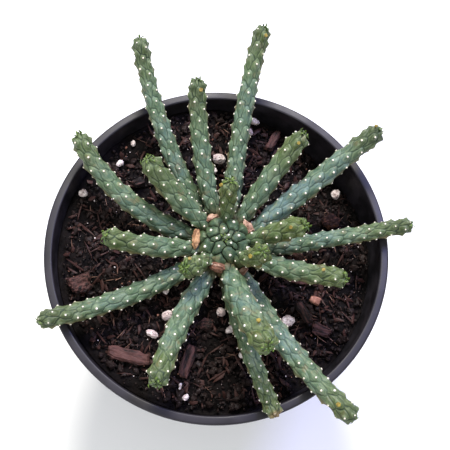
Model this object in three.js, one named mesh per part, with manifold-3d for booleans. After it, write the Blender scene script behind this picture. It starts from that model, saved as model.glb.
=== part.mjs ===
// A potted medusa-head euphorbia: a squat tubercled head whose arms radiate over a gritty soil mix in a round
// plastic nursery pot. Millimetres, +Z up. The origin is the middle of the pot's underside, on the surface it stands on.
//
// The plant grows by one rule. Every bump, dry stub and arm follows the one before it by the golden angle, and each is
// a little lower on the head than the one before it, so a piece's order of age gives its bearing and its height.
import * as THREE from "three";
import { mergeVertices } from "three/addons/utils/BufferGeometryUtils.js";
import Module from "manifold-3d";

const wasm = await Module();
wasm.setup();

// ---------------------------------------------------------------- driving dimensions
const CLEARANCE = 0.3; // gap left between pieces that touch
const GOLDEN_ANGLE = 137.5; // degrees from one bump, stub or arm to the next

const POT = {
  height: 112,
  rimRadius: 76, // outside of the collar
  rimWidth: 3.8, // flat top of the collar
  rimRound: 1.3, // rounding of the collar's two top edges
  collarDepth: 11, // how far the collar reaches down the outside
  collarLedge: 2.2, // how far the collar stands out from the wall below it
  collarDraft: 0.6, // how much the collar narrows towards its lower edge
  baseRadius: 52,
  baseRound: 1.5,
  wall: 1.6,
  floor: 1.8,
  footHeight: 2.5, // depth of the recess under the floor, which lets water drain away
  footWidth: 6,
  footSlope: 1, // how far the sides of the recess lean
  padRadius: 16, // flat pad in the middle of the underside
  drainRadius: 4.5,
  drainCircle: 33,
  drainCount: 8,
  drainSides: 16,
  segments: 48,
};

const SOIL = {
  belowRim: 13.4, // depth of the surface below the rim, at the pot's axis
  slope: 0.055, // fall of the surface towards +X, in mm for each mm
  rings: 8,
  sideRings: 5,
  grain: 0.1, // loose pieces sit this much higher, on the crumbs between them
  settled: [
    // mounds and hollows left by watering
    { x: -6, y: 66, radius: 26, height: 4 },
    { x: 52, y: 46, radius: 26, height: -7 },
    { x: -46, y: -40, radius: 24, height: 1.2 },
    { x: 30, y: -52, radius: 22, height: -2 },
    { x: -20, y: 30, radius: 14, height: -1.2 },
  ],
};

const HEAD = {
  x: 3.5,
  y: 2.5,
  rise: 22.4, // height of the head above the soil
  radius: 12.8,
  dimple: 0.7, // the growing point sits in a slight hollow
  neckRadius: 11.2, // where the head goes into the soil
  rootRadius: 5, // taproot, halfway down
  rootDepth: 52, // length of the taproot below the soil surface
  sides: 28,
};

const SPIRAL_START = 44; // degrees; bearing of the youngest bump
const FIRST_ARM = 15; // order of age of the first arm

const ARM = {
  inset: 8, // how far from the head's axis an arm's own axis begins
  belowTop: 6.5, // depth of the youngest arm's root below the top of the head
  drop: 0.65, // each arm sits this much lower than the next younger one
  rimGap: 0.8, // least height at which an arm passes over the pot's rim
  neckRadius: 2.9, // where the arms crowd together on the head
  widening: 13, // length over which an arm grows from its neck to its full girth
  taper: 0.1, // share of its girth that an arm loses towards the tip
  endLength: 0.9, // length of the rounded end, as a share of its radius
  stations: 12,
  sides: 10,
  steps: 24, // straight steps in which the centreline is followed
  liftStep: 0.5, // degrees by which an arm is raised at a time, to pass over the rim
  mostLift: 60,
};

// The arms, youngest and highest first. Length and girth in mm; then degrees: pitch above the horizon at the root and at
// the tip, lean of the root away from straight outwards, sweep sideways from root to tip, and how far the root has been
// shifted round the head from its place on the spiral.
const ARMS = [
  { length: 25, girth: 9.4, pitch: 44, tipPitch: 80, lean: 12, sweep: 46, shift: 2 },
  { length: 23, girth: 8.4, pitch: 42, tipPitch: 62, lean: 6, sweep: -10, shift: 0 },
  { length: 23, girth: 9.2, pitch: 34, tipPitch: 60, lean: 7, sweep: -19, shift: 3 },
  { length: 32, girth: 9.6, pitch: 28, tipPitch: 44, lean: 8, sweep: -10, shift: 3 },
  { length: 44.5, girth: 9.8, pitch: 25, tipPitch: 42, lean: 7, sweep: -10, shift: 0 },
  { length: 57, girth: 11, pitch: 24, tipPitch: 48, lean: 6, sweep: 14, shift: 3 },
  { length: 52.5, girth: 9.2, pitch: 20, tipPitch: 30, lean: -1, sweep: -8, shift: 5 },
  { length: 49, girth: 9, pitch: 20, tipPitch: 38, lean: 3, sweep: -19, shift: 0 },
  { length: 49.5, girth: 9, pitch: 17, tipPitch: 24, lean: 8, sweep: 14, shift: 0 },
  { length: 67.5, girth: 8.4, pitch: 18, tipPitch: 32, lean: -3, sweep: -18, shift: 7 },
  { length: 68, girth: 9.4, pitch: 12, tipPitch: 34, lean: -9, sweep: 22, shift: 4 },
  { length: 78.5, girth: 9.2, pitch: 14, tipPitch: 24, lean: 18, sweep: -2, shift: 0 },
  { length: 76.5, girth: 9, pitch: 12, tipPitch: 20, lean: 15, sweep: -55, shift: 0 },
  { length: 87.5, girth: 9.2, pitch: 10, tipPitch: 14, lean: -13, sweep: 22, shift: 12 },
  { length: 93, girth: 8.4, pitch: 14, tipPitch: 28, lean: 16, sweep: -14, shift: 0 },
  { length: 80.5, girth: 8.6, pitch: 8, tipPitch: 14, lean: 6, sweep: -21, shift: 0 },
  { length: 76.5, girth: 7.6, pitch: 9, tipPitch: 18, lean: 23, sweep: 0, shift: -3 },
  { length: 95, girth: 8, pitch: 12, tipPitch: 28, lean: 1, sweep: -25, shift: 0 },
  { length: 73, girth: 7.6, pitch: 9, tipPitch: 16, lean: 23, sweep: 7, shift: 0 },
];

// Withered flower stalks and shed bumps on the shoulder of the head. Bearing in degrees and distance out from the
// head's axis, depth of the middle below the top of the head, size across and thick, and the turn of the thin side.
const STUBS = [
  { bearing: 119, out: 11.8, below: 4.6, across: 6.2, thick: 3.2, turn: 112 },
  { bearing: 255, out: 12.2, below: 5.2, across: 7.4, thick: 4.8, turn: 258 },
  { bearing: 31, out: 12.0, below: 5.0, across: 9.0, thick: 3.4, turn: 30 },
  { bearing: 177, out: 12.6, below: 5.2, across: 9.8, thick: 4.2, turn: 174 },
  { bearing: 300, out: 15.0, below: 9.2, across: 6.0, thick: 3.4, turn: 308 },
];

const STUB_LUMPS = 0.1; // height of a stub's lumps, as a share of its radius

const PERLITE_SHAPE = {
  lumps: 0.14, // height of a grain's lumps, as a share of its radius
  lumpsAcross: 6,
  width: 0.76, // middle width, as a share of the length
  widthSpread: 0.14, // how much wider or narrower a grain may be
  height: 1.1, // height with its lumps, as a share of the height without
  reach: 0.6, // how far it reaches from its middle, as a share of its size
};

// Expanded-glass grit on the soil: place and size in mm, and how flat the grain is.
const PERLITE = [
  { x: 1, y: 45.5, size: 6.2, flat: 0.85 },
  { x: -1.5, y: 40.5, size: 3.4, flat: 0.8 },
  { x: -39, y: 53, size: 3.2, flat: 0.9 },
  { x: -45, y: 43, size: 3.8, flat: 0.7 },
  { x: -61, y: 28, size: 3.8, flat: 0.9 },
  { x: 18, y: 66, size: 4.6, flat: 0.9 },
  { x: 15.5, y: 60.5, size: 3.8, flat: 0.9 },
  { x: 56.5, y: 32, size: 4.8, flat: 0.9 },
  { x: -21.5, y: -28, size: 5.4, flat: 0.8 },
  { x: -28, y: -36.5, size: 5.2, flat: 0.6 },
  { x: 2, y: -26, size: 4.2, flat: 0.9 },
  { x: -22.5, y: -16.5, size: 4.0, flat: 0.8 },
  { x: 6, y: -34, size: 4.8, flat: 0.7 },
  { x: 32, y: -29.5, size: 6.0, flat: 0.7 },
  { x: 11.5, y: -45, size: 3.4, flat: 0.9 },
  { x: -15.5, y: -59, size: 3.0, flat: 0.9 },
  { x: -13, y: -63.5, size: 3.2, flat: 0.9 },
];

const BARK_SHAPE = {
  corners: 8, // fewest corners of an outline
  square: 0.45, // 1 gives an oval outline, less gives a squarer one
  fullness: 0.94, // middle reach of the corners, as a share of half the length or width
  wear: 0.09, // how much further or less far a corner may reach
  cornerShift: 0.2, // how far a corner strays, as a share of the way to the next
  bevelDepth: 0.3, // bevel as a share of the thickness, but no more than
  bevelWidth: 0.15, // this share of the width
  reach: 0.6, // how far it reaches from its middle, as a share of its length
};

// Composted bark on the soil: place, length, width and thickness in mm, and the bearing of its length in degrees.
const BARK = [
  { x: -38, y: -46, length: 19, width: 6.4, thick: 2.6, turn: -12 },
  { x: -12.5, y: -48, length: 17, width: 5, thick: 2.4, turn: 71 },
  { x: -60, y: -14.5, length: 10, width: 9, thick: 5, turn: 20 },
  { x: 53, y: 17.5, length: 8, width: 7.4, thick: 5, turn: 40 },
  { x: 44.5, y: -20, length: 5.4, width: 4, thick: 3.2, turn: -30 },
  { x: 47, y: -33.5, length: 9.5, width: 5.6, thick: 2.6, turn: -20 },
  { x: 27, y: 57, length: 12, width: 3.6, thick: 2.8, turn: 62 },
  { x: 33.5, y: 53, length: 10, width: 3.2, thick: 2.4, turn: 48 },
  { x: 38, y: -11, length: 15, width: 2.8, thick: 2, turn: -8 },
  { x: 39, y: -25.5, length: 12, width: 4.6, thick: 2.2, turn: -62 },
  { x: -4.5, y: -31.5, length: 6.6, width: 5, thick: 3.6, turn: 10 },
  { x: 36, y: 1.5, length: 10, width: 4, thick: 2.6, turn: -42 },
  { x: 60, y: 24.5, length: 9, width: 2.2, thick: 1.8, turn: 2 },
  { x: -36, y: 34, length: 5.6, width: 4.4, thick: 2.8, turn: 35 },
];

// ---------------------------------------------------------------- materials
const material = (color, roughness) => new THREE.MeshStandardMaterial({ color, roughness, metalness: 0 });
const MATERIALS = {
  pot: material("#2b292e", 0.5),
  soil: material("#2a1c16", 0.95),
  head: material("#3f5f4c", 0.5),
  arm: material("#6f9273", 0.5),
  stub: material("#c39a6e", 0.85),
  perlite: material("#e6dfda", 0.9),
  bark: material("#5d382a", 0.9),
};

// ---------------------------------------------------------------- helpers
const radians = THREE.MathUtils.degToRad;
const { smoothstep, lerp } = THREE.MathUtils;
const point = (x, y) => new THREE.Vector2(x, y);

// A solid of revolution about +Z, from [radius, height] points that start and end on the axis.
function turned(profile, segments) {
  const lathe = new THREE.LatheGeometry(profile, segments);
  return lathe.rotateX(Math.PI / 2);
}

// A quarter circle of points from one direction to another, for a rounded edge.
function rounded(x, y, radius, fromDegrees, toDegrees, steps = 3) {
  return Array.from({ length: steps + 1 }, (_, i) => {
    const angle = radians(lerp(fromDegrees, toDegrees, i / steps));
    return point(x + radius * Math.cos(angle), y + radius * Math.sin(angle));
  });
}

// A closed geometry as a manifold-3d solid.
function solid(geometry) {
  const bare = geometry.index ? geometry.toNonIndexed() : geometry.clone();
  bare.deleteAttribute("normal");
  bare.deleteAttribute("uv");
  const merged = mergeVertices(bare, 1e-3);
  return new wasm.Manifold(
    new wasm.Mesh({
      numProp: 3,
      vertProperties: merged.attributes.position.array,
      triVerts: new Uint32Array(merged.index.array),
    }),
  );
}

// A manifold-3d solid as a three.js geometry.
function geometryOf(made) {
  const mesh = made.getMesh();
  const places = new Float32Array(mesh.numVert * 3);
  for (let i = 0; i < mesh.numVert; i++) {
    places.set(mesh.vertProperties.subarray(i * mesh.numProp, i * mesh.numProp + 3), i * 3);
  }
  return new THREE.BufferGeometry()
    .setAttribute("position", new THREE.BufferAttribute(places, 3))
    .setIndex(new THREE.BufferAttribute(mesh.triVerts, 1));
}

// Moves every vertex of a geometry to where the given function puts it.
function reshape(geometry, move) {
  const places = geometry.attributes.position;
  const vertex = new THREE.Vector3();
  for (let i = 0; i < places.count; i++) {
    vertex.fromBufferAttribute(places, i);
    move(vertex);
    places.setXYZ(i, vertex.x, vertex.y, vertex.z);
  }
  return geometry;
}

// A smooth, repeatable unevenness between -1 and 1 over space, for lumps on natural pieces.
function lumps(v, scale, seed) {
  const a = Math.sin(v.x * scale + seed * 1.7 + Math.sin(v.y * scale * 1.3 + seed));
  const b = Math.sin(v.y * scale * 1.1 - seed * 2.3 + Math.sin(v.z * scale * 1.7 + seed * 0.6));
  const c = Math.sin(v.z * scale * 0.9 + seed * 3.1 + Math.sin(v.x * scale * 1.9 - seed));
  return (a + b + c) / 3;
}

const group = new THREE.Group();
group.name = "potted_euphorbia";

function add(name, geometry, finish) {
  const mesh = new THREE.Mesh(geometry, finish);
  mesh.name = name;
  group.add(mesh);
  return mesh;
}

const numbered = (stem, i) => `${stem}_${String(i + 1).padStart(2, "0")}`;

// ---------------------------------------------------------------- heights and radii that follow from the dimensions
const soilLevel = POT.height - SOIL.belowRim;
const headTop = soilLevel + HEAD.rise;
const floorTop = POT.footHeight + POT.floor;
const mouthRadius = POT.rimRadius - POT.rimWidth;
const collarBottom = POT.height - POT.collarDepth;
const wallTopRadius = POT.rimRadius - POT.collarDraft - POT.collarLedge;

// Outside radius of the tapered wall at a height.
const wallRadius = (z) => lerp(POT.baseRadius, wallTopRadius, z / collarBottom);

// Inside radius of the pot at a height: the wall up to the collar, then the collar's flare to the mouth.
function insideRadius(z) {
  const throat = wallRadius(collarBottom) - POT.wall;
  if (z <= collarBottom) return wallRadius(z) - POT.wall;
  return lerp(throat, mouthRadius, (z - collarBottom) / POT.collarDepth);
}

// ---------------------------------------------------------------- pot
function potBody() {
  const { rimRound, baseRound } = POT;
  const footInner = POT.baseRadius - POT.footWidth;
  const profile = [
    point(0, 0),
    point(POT.padRadius, 0),
    point(POT.padRadius + POT.footSlope, POT.footHeight),
    point(footInner - POT.footSlope, POT.footHeight),
    point(footInner, 0),
    ...rounded(POT.baseRadius - baseRound, baseRound, baseRound, -90, -5),
    point(wallTopRadius, collarBottom),
    point(POT.rimRadius - POT.collarDraft, collarBottom),
    ...rounded(POT.rimRadius - rimRound, POT.height - rimRound, rimRound, 0, 90),
    ...rounded(mouthRadius + rimRound, POT.height - rimRound, rimRound, 90, 170),
    point(insideRadius(collarBottom), collarBottom),
    point(insideRadius(floorTop + baseRound), floorTop + baseRound),
    point(insideRadius(floorTop) - baseRound, floorTop),
    point(0, floorTop),
  ];
  let body = solid(turned(profile, POT.segments));
  for (let i = 0; i < POT.drainCount; i++) {
    const angle = (i / POT.drainCount) * 2 * Math.PI;
    const hole = new THREE.CylinderGeometry(POT.drainRadius, POT.drainRadius, 3 * floorTop, POT.drainSides);
    hole.rotateX(Math.PI / 2);
    hole.translate(POT.drainCircle * Math.cos(angle), POT.drainCircle * Math.sin(angle), 0);
    body = body.subtract(solid(hole));
  }
  return geometryOf(body);
}

// ---------------------------------------------------------------- head, with its taproot
// An outline moved outwards by an amount. It runs upwards, from the axis and back to it.
function grown(outline, amount) {
  return outline.map((here, i) => {
    if (here.x === 0) return point(0, here.y + (i === 0 ? -amount : amount));
    const along = outline[i + 1].clone().sub(outline[i - 1]).normalize();
    return point(here.x + along.y * amount, here.y - along.x * amount);
  });
}

const headOutline = [
  point(0, soilLevel - HEAD.rootDepth),
  point(HEAD.rootRadius * 0.5, soilLevel - HEAD.rootDepth * 0.98),
  point(HEAD.rootRadius, soilLevel - HEAD.rootDepth * 0.5),
  point(HEAD.neckRadius * 0.8, soilLevel - HEAD.rootDepth * 0.2),
  point(HEAD.neckRadius, soilLevel),
  point(HEAD.radius * 0.97, headTop - 17),
  point(HEAD.radius, headTop - 10.5),
  point(HEAD.radius * 0.92, headTop - 7),
  point(HEAD.radius * 0.74, headTop - 3.4),
  point(HEAD.radius * 0.48, headTop - 1),
  point(HEAD.radius * 0.2, headTop),
  point(0, headTop - HEAD.dimple),
];

const headSolid = (grow) => solid(turned(grown(headOutline, grow), HEAD.sides).translate(HEAD.x, HEAD.y, 0));
const headSeat = headSolid(CLEARANCE);

// ---------------------------------------------------------------- soil
function soilHeight(x, y) {
  const settled = SOIL.settled.reduce((sum, spot) => {
    const away = Math.hypot(x - spot.x, y - spot.y) / spot.radius;
    return sum + spot.height * Math.exp(-away * away);
  }, 0);
  return soilLevel - SOIL.slope * x + settled;
}

// The plug of soil that fills the pot, with a socket for the taproot.
function soilBody() {
  const bottom = floorTop + CLEARANCE;
  const reach = (z) => insideRadius(z) - CLEARANCE;
  const profile = [point(0, bottom), point(reach(bottom) - POT.baseRound, bottom)];
  for (let i = 0; i <= SOIL.sideRings; i++) {
    const z = lerp(bottom + POT.baseRound, soilLevel, i / SOIL.sideRings);
    profile.push(point(reach(z), z));
  }
  for (let i = 1; i <= SOIL.rings; i++) {
    profile.push(point(reach(soilLevel) * (1 - i / SOIL.rings), soilLevel));
  }
  const plug = reshape(turned(profile, POT.segments), (v) => {
    const share = (v.z - bottom) / (soilLevel - bottom);
    const z = lerp(bottom, soilHeight(v.x, v.y), share);
    const fit = reach(z) / reach(v.z);
    v.set(v.x * fit, v.y * fit, z);
  });
  return geometryOf(solid(plug).subtract(headSeat));
}

// ---------------------------------------------------------------- arms
// Where an arm's centreline has got to at a share of its length, and the way it points there.
function alongArm(arm, order, share) {
  const bearing = radians(SPIRAL_START + GOLDEN_ANGLE * order + arm.shift);
  const place = new THREE.Vector3(
    HEAD.x + ARM.inset * Math.cos(bearing),
    HEAD.y + ARM.inset * Math.sin(bearing),
    headTop - ARM.belowTop - ARM.drop * (order - FIRST_ARM),
  );
  const pointing = (t) => {
    const heading = bearing + radians(arm.lean + arm.sweep * t);
    const pitch = radians(lerp(arm.pitch, arm.tipPitch, t) + arm.lift);
    return { heading, pitch };
  };
  const step = (share * arm.length) / ARM.steps;
  for (let i = 0; i < ARM.steps; i++) {
    const { heading, pitch } = pointing((share * (i + 0.5)) / ARM.steps);
    place.x += step * Math.cos(pitch) * Math.cos(heading);
    place.y += step * Math.cos(pitch) * Math.sin(heading);
    place.z += step * Math.sin(pitch);
  }
  return { place, ...pointing(share) };
}

// An arm raised, if it must be, until it passes over the pot's rim.
function restedArm(arm, order) {
  for (let lift = 0; lift < ARM.mostLift; lift += ARM.liftStep) {
    const raised = { ...arm, lift };
    const clear = [0.3, 0.4, 0.5, 0.6, 0.7, 0.8, 0.9, 1].every((share) => {
      const { place } = alongArm(raised, order, share);
      const overRim = Math.hypot(place.x, place.y) > mouthRadius - arm.girth / 2;
      return !overRim || place.z > POT.height + ARM.rimGap + arm.girth / 2;
    });
    if (clear) return raised;
  }
  throw new Error("an arm can't clear the rim");
}

// An arm: its straight outline is turned about +Z, then bent along its centreline.
function armSolid(arm, order, grow) {
  const full = arm.girth / 2;
  const cap = full * ARM.endLength;
  const widening = Math.min(ARM.widening, arm.length * 0.5);
  const stemLength = arm.length - cap;
  const radiusAt = (z) => {
    const shoulder = lerp(ARM.neckRadius, full, smoothstep(z, 0, widening + ARM.inset));
    return shoulder * (1 - ARM.taper * smoothstep(z / arm.length, 0.5, 1)) + grow;
  };
  const profile = [point(0, 0)];
  for (let i = 0; i <= ARM.stations; i++) {
    const z = (stemLength * i) / ARM.stations;
    profile.push(point(radiusAt(z), z));
  }
  for (const turn of [30, 58, 80]) {
    profile.push(point(radiusAt(stemLength) * Math.cos(radians(turn)), stemLength + cap * Math.sin(radians(turn))));
  }
  profile.push(point(0, arm.length));
  const bent = reshape(turned(profile, ARM.sides), (v) => {
    const { place, heading, pitch } = alongArm(arm, order, v.z / arm.length);
    const side = new THREE.Vector3(-Math.sin(heading), Math.cos(heading), 0);
    const forward = new THREE.Vector3(
      Math.cos(pitch) * Math.cos(heading),
      Math.cos(pitch) * Math.sin(heading),
      Math.sin(pitch),
    );
    const above = forward.clone().cross(side);
    v.copy(place.addScaledVector(side, v.x).addScaledVector(above, v.y));
  });
  return solid(bent);
}

const arms = ARMS.map((arm, i) => restedArm(arm, FIRST_ARM + i));

// An arm cut clear of the head, and flattened where a younger arm would press into it.
function armBody(arm, i) {
  const body = armSolid(arm, FIRST_ARM + i, 0).subtract(headSeat);
  const fitted = arms.slice(0, i).reduce((rest, other, k) => {
    const presses = rest.minGap(armSolid(other, FIRST_ARM + k, 0), CLEARANCE) < CLEARANCE / 2;
    return presses ? rest.subtract(armSolid(other, FIRST_ARM + k, CLEARANCE)) : rest;
  }, body);
  return geometryOf(fitted);
}

// ---------------------------------------------------------------- dry stubs
// A withered stalk or shed bump, wedged between the shoulder of the head and the arms.
function stubBody(stub, i) {
  const angle = radians(stub.bearing);
  const lump = new THREE.IcosahedronGeometry(1, 1);
  reshape(lump, (v) => v.multiplyScalar(1 + STUB_LUMPS * lumps(v, 3, i + 5)));
  lump.scale(stub.thick / 2, stub.across / 2, stub.thick / 2);
  lump.rotateZ(radians(stub.turn));
  lump.translate(
    HEAD.x + stub.out * Math.cos(angle),
    HEAD.y + stub.out * Math.sin(angle),
    headTop - stub.below,
  );
  const wedged = arms.reduce(
    (rest, arm, k) => rest.subtract(armSolid(arm, FIRST_ARM + k, CLEARANCE)),
    solid(lump).subtract(headSeat),
  );
  const largest = wedged.decompose().reduce((best, part) => (part.volume() > best.volume() ? part : best));
  return geometryOf(largest);
}

// ---------------------------------------------------------------- loose pieces on the soil
const settledPieces = []; // the loose pieces placed so far: where each was meant to lie, where it lies, its reach

// Where a piece comes to lie: where it is meant to, or else drawn in from the pot's wall by its own reach, and then
// moved round the pot until it is no nearer to the pieces already there than it was meant to be.
function settle({ x, y }, reach) {
  const meant = point(x, y);
  const limit = insideRadius(soilHeight(x, y)) - reach - CLEARANCE;
  const drawnIn = meant.clone().multiplyScalar(Math.min(1, limit / meant.length()));
  const crowded = (place) =>
    settledPieces.some((other) => {
      const apart = Math.min(meant.distanceTo(other.meant), reach + other.reach + CLEARANCE);
      return place.distanceTo(other.place) < apart - 1e-6;
    });
  let place = drawnIn;
  for (let turn = 0; turn < 180 && crowded(place); turn += 2) {
    const way = turn % 4 === 0 ? turn : -turn;
    place = drawnIn.clone().rotateAround(point(0, 0), radians(way));
  }
  settledPieces.push({ meant, place, reach });
  return place;
}

// Lowest height at which a piece clears the soil under it, over a ring of points at its own reach.
function restingHeight(x, y, reach) {
  let highest = soilHeight(x, y);
  for (let i = 0; i < 8; i++) {
    const angle = (i * Math.PI) / 4;
    highest = Math.max(highest, soilHeight(x + reach * Math.cos(angle), y + reach * Math.sin(angle)));
  }
  return highest + CLEARANCE + SOIL.grain;
}

// A puffed, rounded grain. Its number sets its lumps, its width and the way it lies.
function perliteGrain(grain, i) {
  const shape = PERLITE_SHAPE;
  const lump = new THREE.IcosahedronGeometry(grain.size / 2, 1);
  reshape(lump, (v) => v.multiplyScalar(1 + shape.lumps * lumps(v, shape.lumpsAcross / grain.size, i + 1)));
  lump.scale(1, shape.width + shape.widthSpread * Math.sin(2 * i), grain.flat);
  lump.rotateZ(i * 2.4);
  const half = (grain.size / 2) * grain.flat * shape.height;
  const place = settle(grain, grain.size * shape.reach);
  return lump.translate(place.x, place.y, restingHeight(place.x, place.y, grain.size / 2) + half);
}

// A flake of bark: a worn, squarish outline with bevelled edges. Its number sets its corners and their wear.
function barkChip(chip, i) {
  const shape = BARK_SHAPE;
  const corners = shape.corners + (i % 3);
  const squared = (share) => Math.sign(share) * Math.abs(share) ** shape.square;
  const outline = Array.from({ length: corners }, (_, k) => {
    const stray = shape.cornerShift * Math.sin(7.3 * k + 2.1 * i);
    const angle = ((k + 0.5 + stray) / corners) * 2 * Math.PI;
    const reach = shape.fullness + shape.wear * Math.sin(4.7 * k + 3.9 * i);
    const along = squared(Math.cos(angle)) * reach * (chip.length / 2);
    return point(along, squared(Math.sin(angle)) * reach * (chip.width / 2));
  });
  const bevel = Math.min(shape.bevelDepth * chip.thick, shape.bevelWidth * chip.width);
  const flake = new THREE.ExtrudeGeometry(new THREE.Shape(outline), {
    depth: chip.thick - 2 * bevel,
    bevelThickness: bevel,
    bevelSize: bevel,
    bevelOffset: -bevel,
    bevelSegments: 1,
  });
  flake.rotateZ(radians(chip.turn));
  const place = settle(chip, chip.length * shape.reach);
  const base = restingHeight(place.x, place.y, chip.length / 2) + bevel;
  return flake.translate(place.x, place.y, base);
}

// ---------------------------------------------------------------- assembly
add("pot", potBody(), MATERIALS.pot);
add("soil", soilBody(), MATERIALS.soil);
add("caudex", geometryOf(headSolid(0)), MATERIALS.head);
STUBS.forEach((stub, i) => add(numbered("dry_stub", i), stubBody(stub, i), MATERIALS.stub));
arms.forEach((arm, i) => add(numbered("arm", i), armBody(arm, i), MATERIALS.arm));
PERLITE.forEach((grain, i) => add(numbered("perlite", i), perliteGrain(grain, i), MATERIALS.perlite));
BARK.forEach((chip, i) => add(numbered("bark_chip", i), barkChip(chip, i), MATERIALS.bark));

export default group;
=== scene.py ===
"""Visual model of a potted medusa-head euphorbia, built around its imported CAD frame.

The plant follows one rule: each bump on the head and on every arm comes one golden angle after the one
before it.
Lengths in this script are millimetres unless a name says otherwise; they become metres when a mesh is made.
"""

from __future__ import annotations

import logging
import math
from collections import deque
from dataclasses import dataclass
from enum import Enum
from functools import cached_property
from typing import Iterable, Sequence

import bmesh
import bpy
import numpy as np
from mathutils import Matrix, Vector, noise
from mathutils.bvhtree import BVHTree

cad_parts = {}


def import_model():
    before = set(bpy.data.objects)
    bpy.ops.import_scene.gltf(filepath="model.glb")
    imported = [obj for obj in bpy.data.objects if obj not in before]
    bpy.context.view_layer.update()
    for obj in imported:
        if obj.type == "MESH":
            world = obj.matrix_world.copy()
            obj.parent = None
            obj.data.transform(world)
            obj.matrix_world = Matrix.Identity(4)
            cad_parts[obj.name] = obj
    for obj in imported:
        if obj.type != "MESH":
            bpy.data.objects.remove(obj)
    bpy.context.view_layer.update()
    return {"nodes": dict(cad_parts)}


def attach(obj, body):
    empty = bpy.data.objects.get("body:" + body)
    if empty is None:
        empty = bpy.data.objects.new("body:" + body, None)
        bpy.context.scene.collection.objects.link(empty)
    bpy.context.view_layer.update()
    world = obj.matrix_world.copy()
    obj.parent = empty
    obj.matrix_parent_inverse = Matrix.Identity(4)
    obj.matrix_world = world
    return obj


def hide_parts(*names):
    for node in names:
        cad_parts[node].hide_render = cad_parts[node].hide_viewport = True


LOG = logging.getLogger("euphorbia")
MM = 0.001
ROOT = "root"
GOLDEN_ANGLE = math.radians(137.5)

Rgb = tuple[float, float, float]
Outline = list[tuple[float, float]]
Array = np.ndarray
Socket = bpy.types.NodeSocket
SceneObject = bpy.types.Object


# ------------------------------------------------------------ small helpers
def srgb(red: int, green: int, blue: int) -> Rgb:
    """Turns a screen colour into the linear values that a shader takes.

    Args:
        red: Red, 0 to 255.
        green: Green, 0 to 255.
        blue: Blue, 0 to 255.

    Returns:
        The linear red, green and blue.
    """

    def linear(value: int) -> float:
        """Turns one channel's screen value into its linear value.

        Args:
            value: The value, 0 to 255.

        Returns:
            The linear value.
        """
        share = value / 255
        return share / 12.92 if share <= 0.04045 else ((share + 0.055) / 1.055) ** 2.4

    return linear(red), linear(green), linear(blue)


def smoothstep(values: Array, low: float, high: float) -> Array:
    """Eases values from 0 at low to 1 at high.

    Args:
        values: The values to ease.
        low: Where the result leaves 0.
        high: Where the result reaches 1.

    Returns:
        The eased values.
    """
    share = np.clip((values - low) / (high - low), 0.0, 1.0)
    return share * share * (3.0 - 2.0 * share)


def unit(vectors: Array) -> Array:
    """Scales vectors to length one.

    Args:
        vectors: An array whose last axis holds x, y and z.

    Returns:
        The unit vectors.
    """
    return vectors / np.maximum(np.linalg.norm(vectors, axis=-1, keepdims=True), 1e-9)


def fractal(points: Array, scale: float, octaves: int = 3, seed: float = 0.0) -> Array:
    """Samples smooth fractal noise.

    Args:
        points: Places to sample, one row each.
        scale: How many lumps there are for each unit of length.
        octaves: How many layers of finer lumps are added.
        seed: Shifts the noise, so that two pieces differ.

    Returns:
        One value for each place, mostly between -1 and 1.
    """
    shift = Vector((seed * 17.3, seed * 5.1, seed * 9.7))
    values = [noise.fractal(Vector(p) * scale + shift, 0.9, 2.0, octaves) for p in points.tolist()]
    return np.array(values)


def make_object(
    name: str,
    points: Array,
    faces: Sequence[Sequence[int]] | Array,
    attributes: dict[str, Array] | None = None,
    smooth: bool = True,
) -> SceneObject:
    """Makes a mesh object from millimetre points.

    Args:
        name: The name of the object.
        points: One row for each vertex, in millimetres.
        faces: The corners of each face.
        attributes: Values kept on the vertices for the material to read: numbers, or rows of three.
        smooth: Whether the faces are shaded smooth.

    Returns:
        The new object, linked to the scene.
    """
    mesh = bpy.data.meshes.new(name)
    faces = faces.tolist() if isinstance(faces, Array) else faces
    mesh.from_pydata((np.asarray(points, float) * MM).tolist(), [], faces)
    return link_mesh(name, mesh, attributes or {}, smooth)


def link_mesh(
    name: str, mesh: bpy.types.Mesh, attributes: dict[str, Array] | None = None, smooth: bool | None = None
) -> SceneObject:
    """Puts a mesh into the scene as an object of its own.

    Args:
        name: The name of the object.
        mesh: The mesh.
        attributes: Values kept on the vertices for the material to read: numbers, or rows of three.
        smooth: Whether the faces are shaded smooth; they stay as they are if left out.

    Returns:
        The new object.
    """
    for key, values in (attributes or {}).items():
        values = np.asarray(values, np.float32)
        kind, field = ("FLOAT_VECTOR", "vector") if values.ndim == 2 else ("FLOAT", "value")
        mesh.attributes.new(key, kind, "POINT").data.foreach_set(field, values.ravel())
    if smooth and len(mesh.polygons):
        mesh.polygons.foreach_set("use_smooth", [True] * len(mesh.polygons))
    mesh.update()
    made = bpy.data.objects.new(name, mesh)
    bpy.context.scene.collection.objects.link(made)
    return made


def apply_modifiers(host: SceneObject) -> bpy.types.Mesh:
    """Turns an object with modifiers into one plain mesh.

    Args:
        host: The object, which is removed.

    Returns:
        The mesh.
    """
    graph = bpy.context.evaluated_depsgraph_get()
    mesh = bpy.data.meshes.new_from_object(host.evaluated_get(graph), depsgraph=graph)
    bpy.data.objects.remove(host)
    return mesh


def bearings(sides: int) -> Array:
    """Gives evenly spaced bearings round a circle.

    Args:
        sides: How many there are.

    Returns:
        The bearings, in radians.
    """
    return np.arange(sides) * math.tau / sides


def spokes(turn: Array) -> Array:
    """Gives unit directions in the ground plane.

    Args:
        turn: Their bearings.

    Returns:
        The x and y of each.
    """
    return np.stack([np.cos(turn), np.sin(turn)], axis=1)


def at_height(flat: Array, z: Array | float) -> Array:
    """Lifts flat points.

    Args:
        flat: The x and y of each point.
        z: One height for all of them, or one for each.

    Returns:
        The points.
    """
    return np.column_stack([flat, np.broadcast_to(z, len(flat))])


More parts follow.
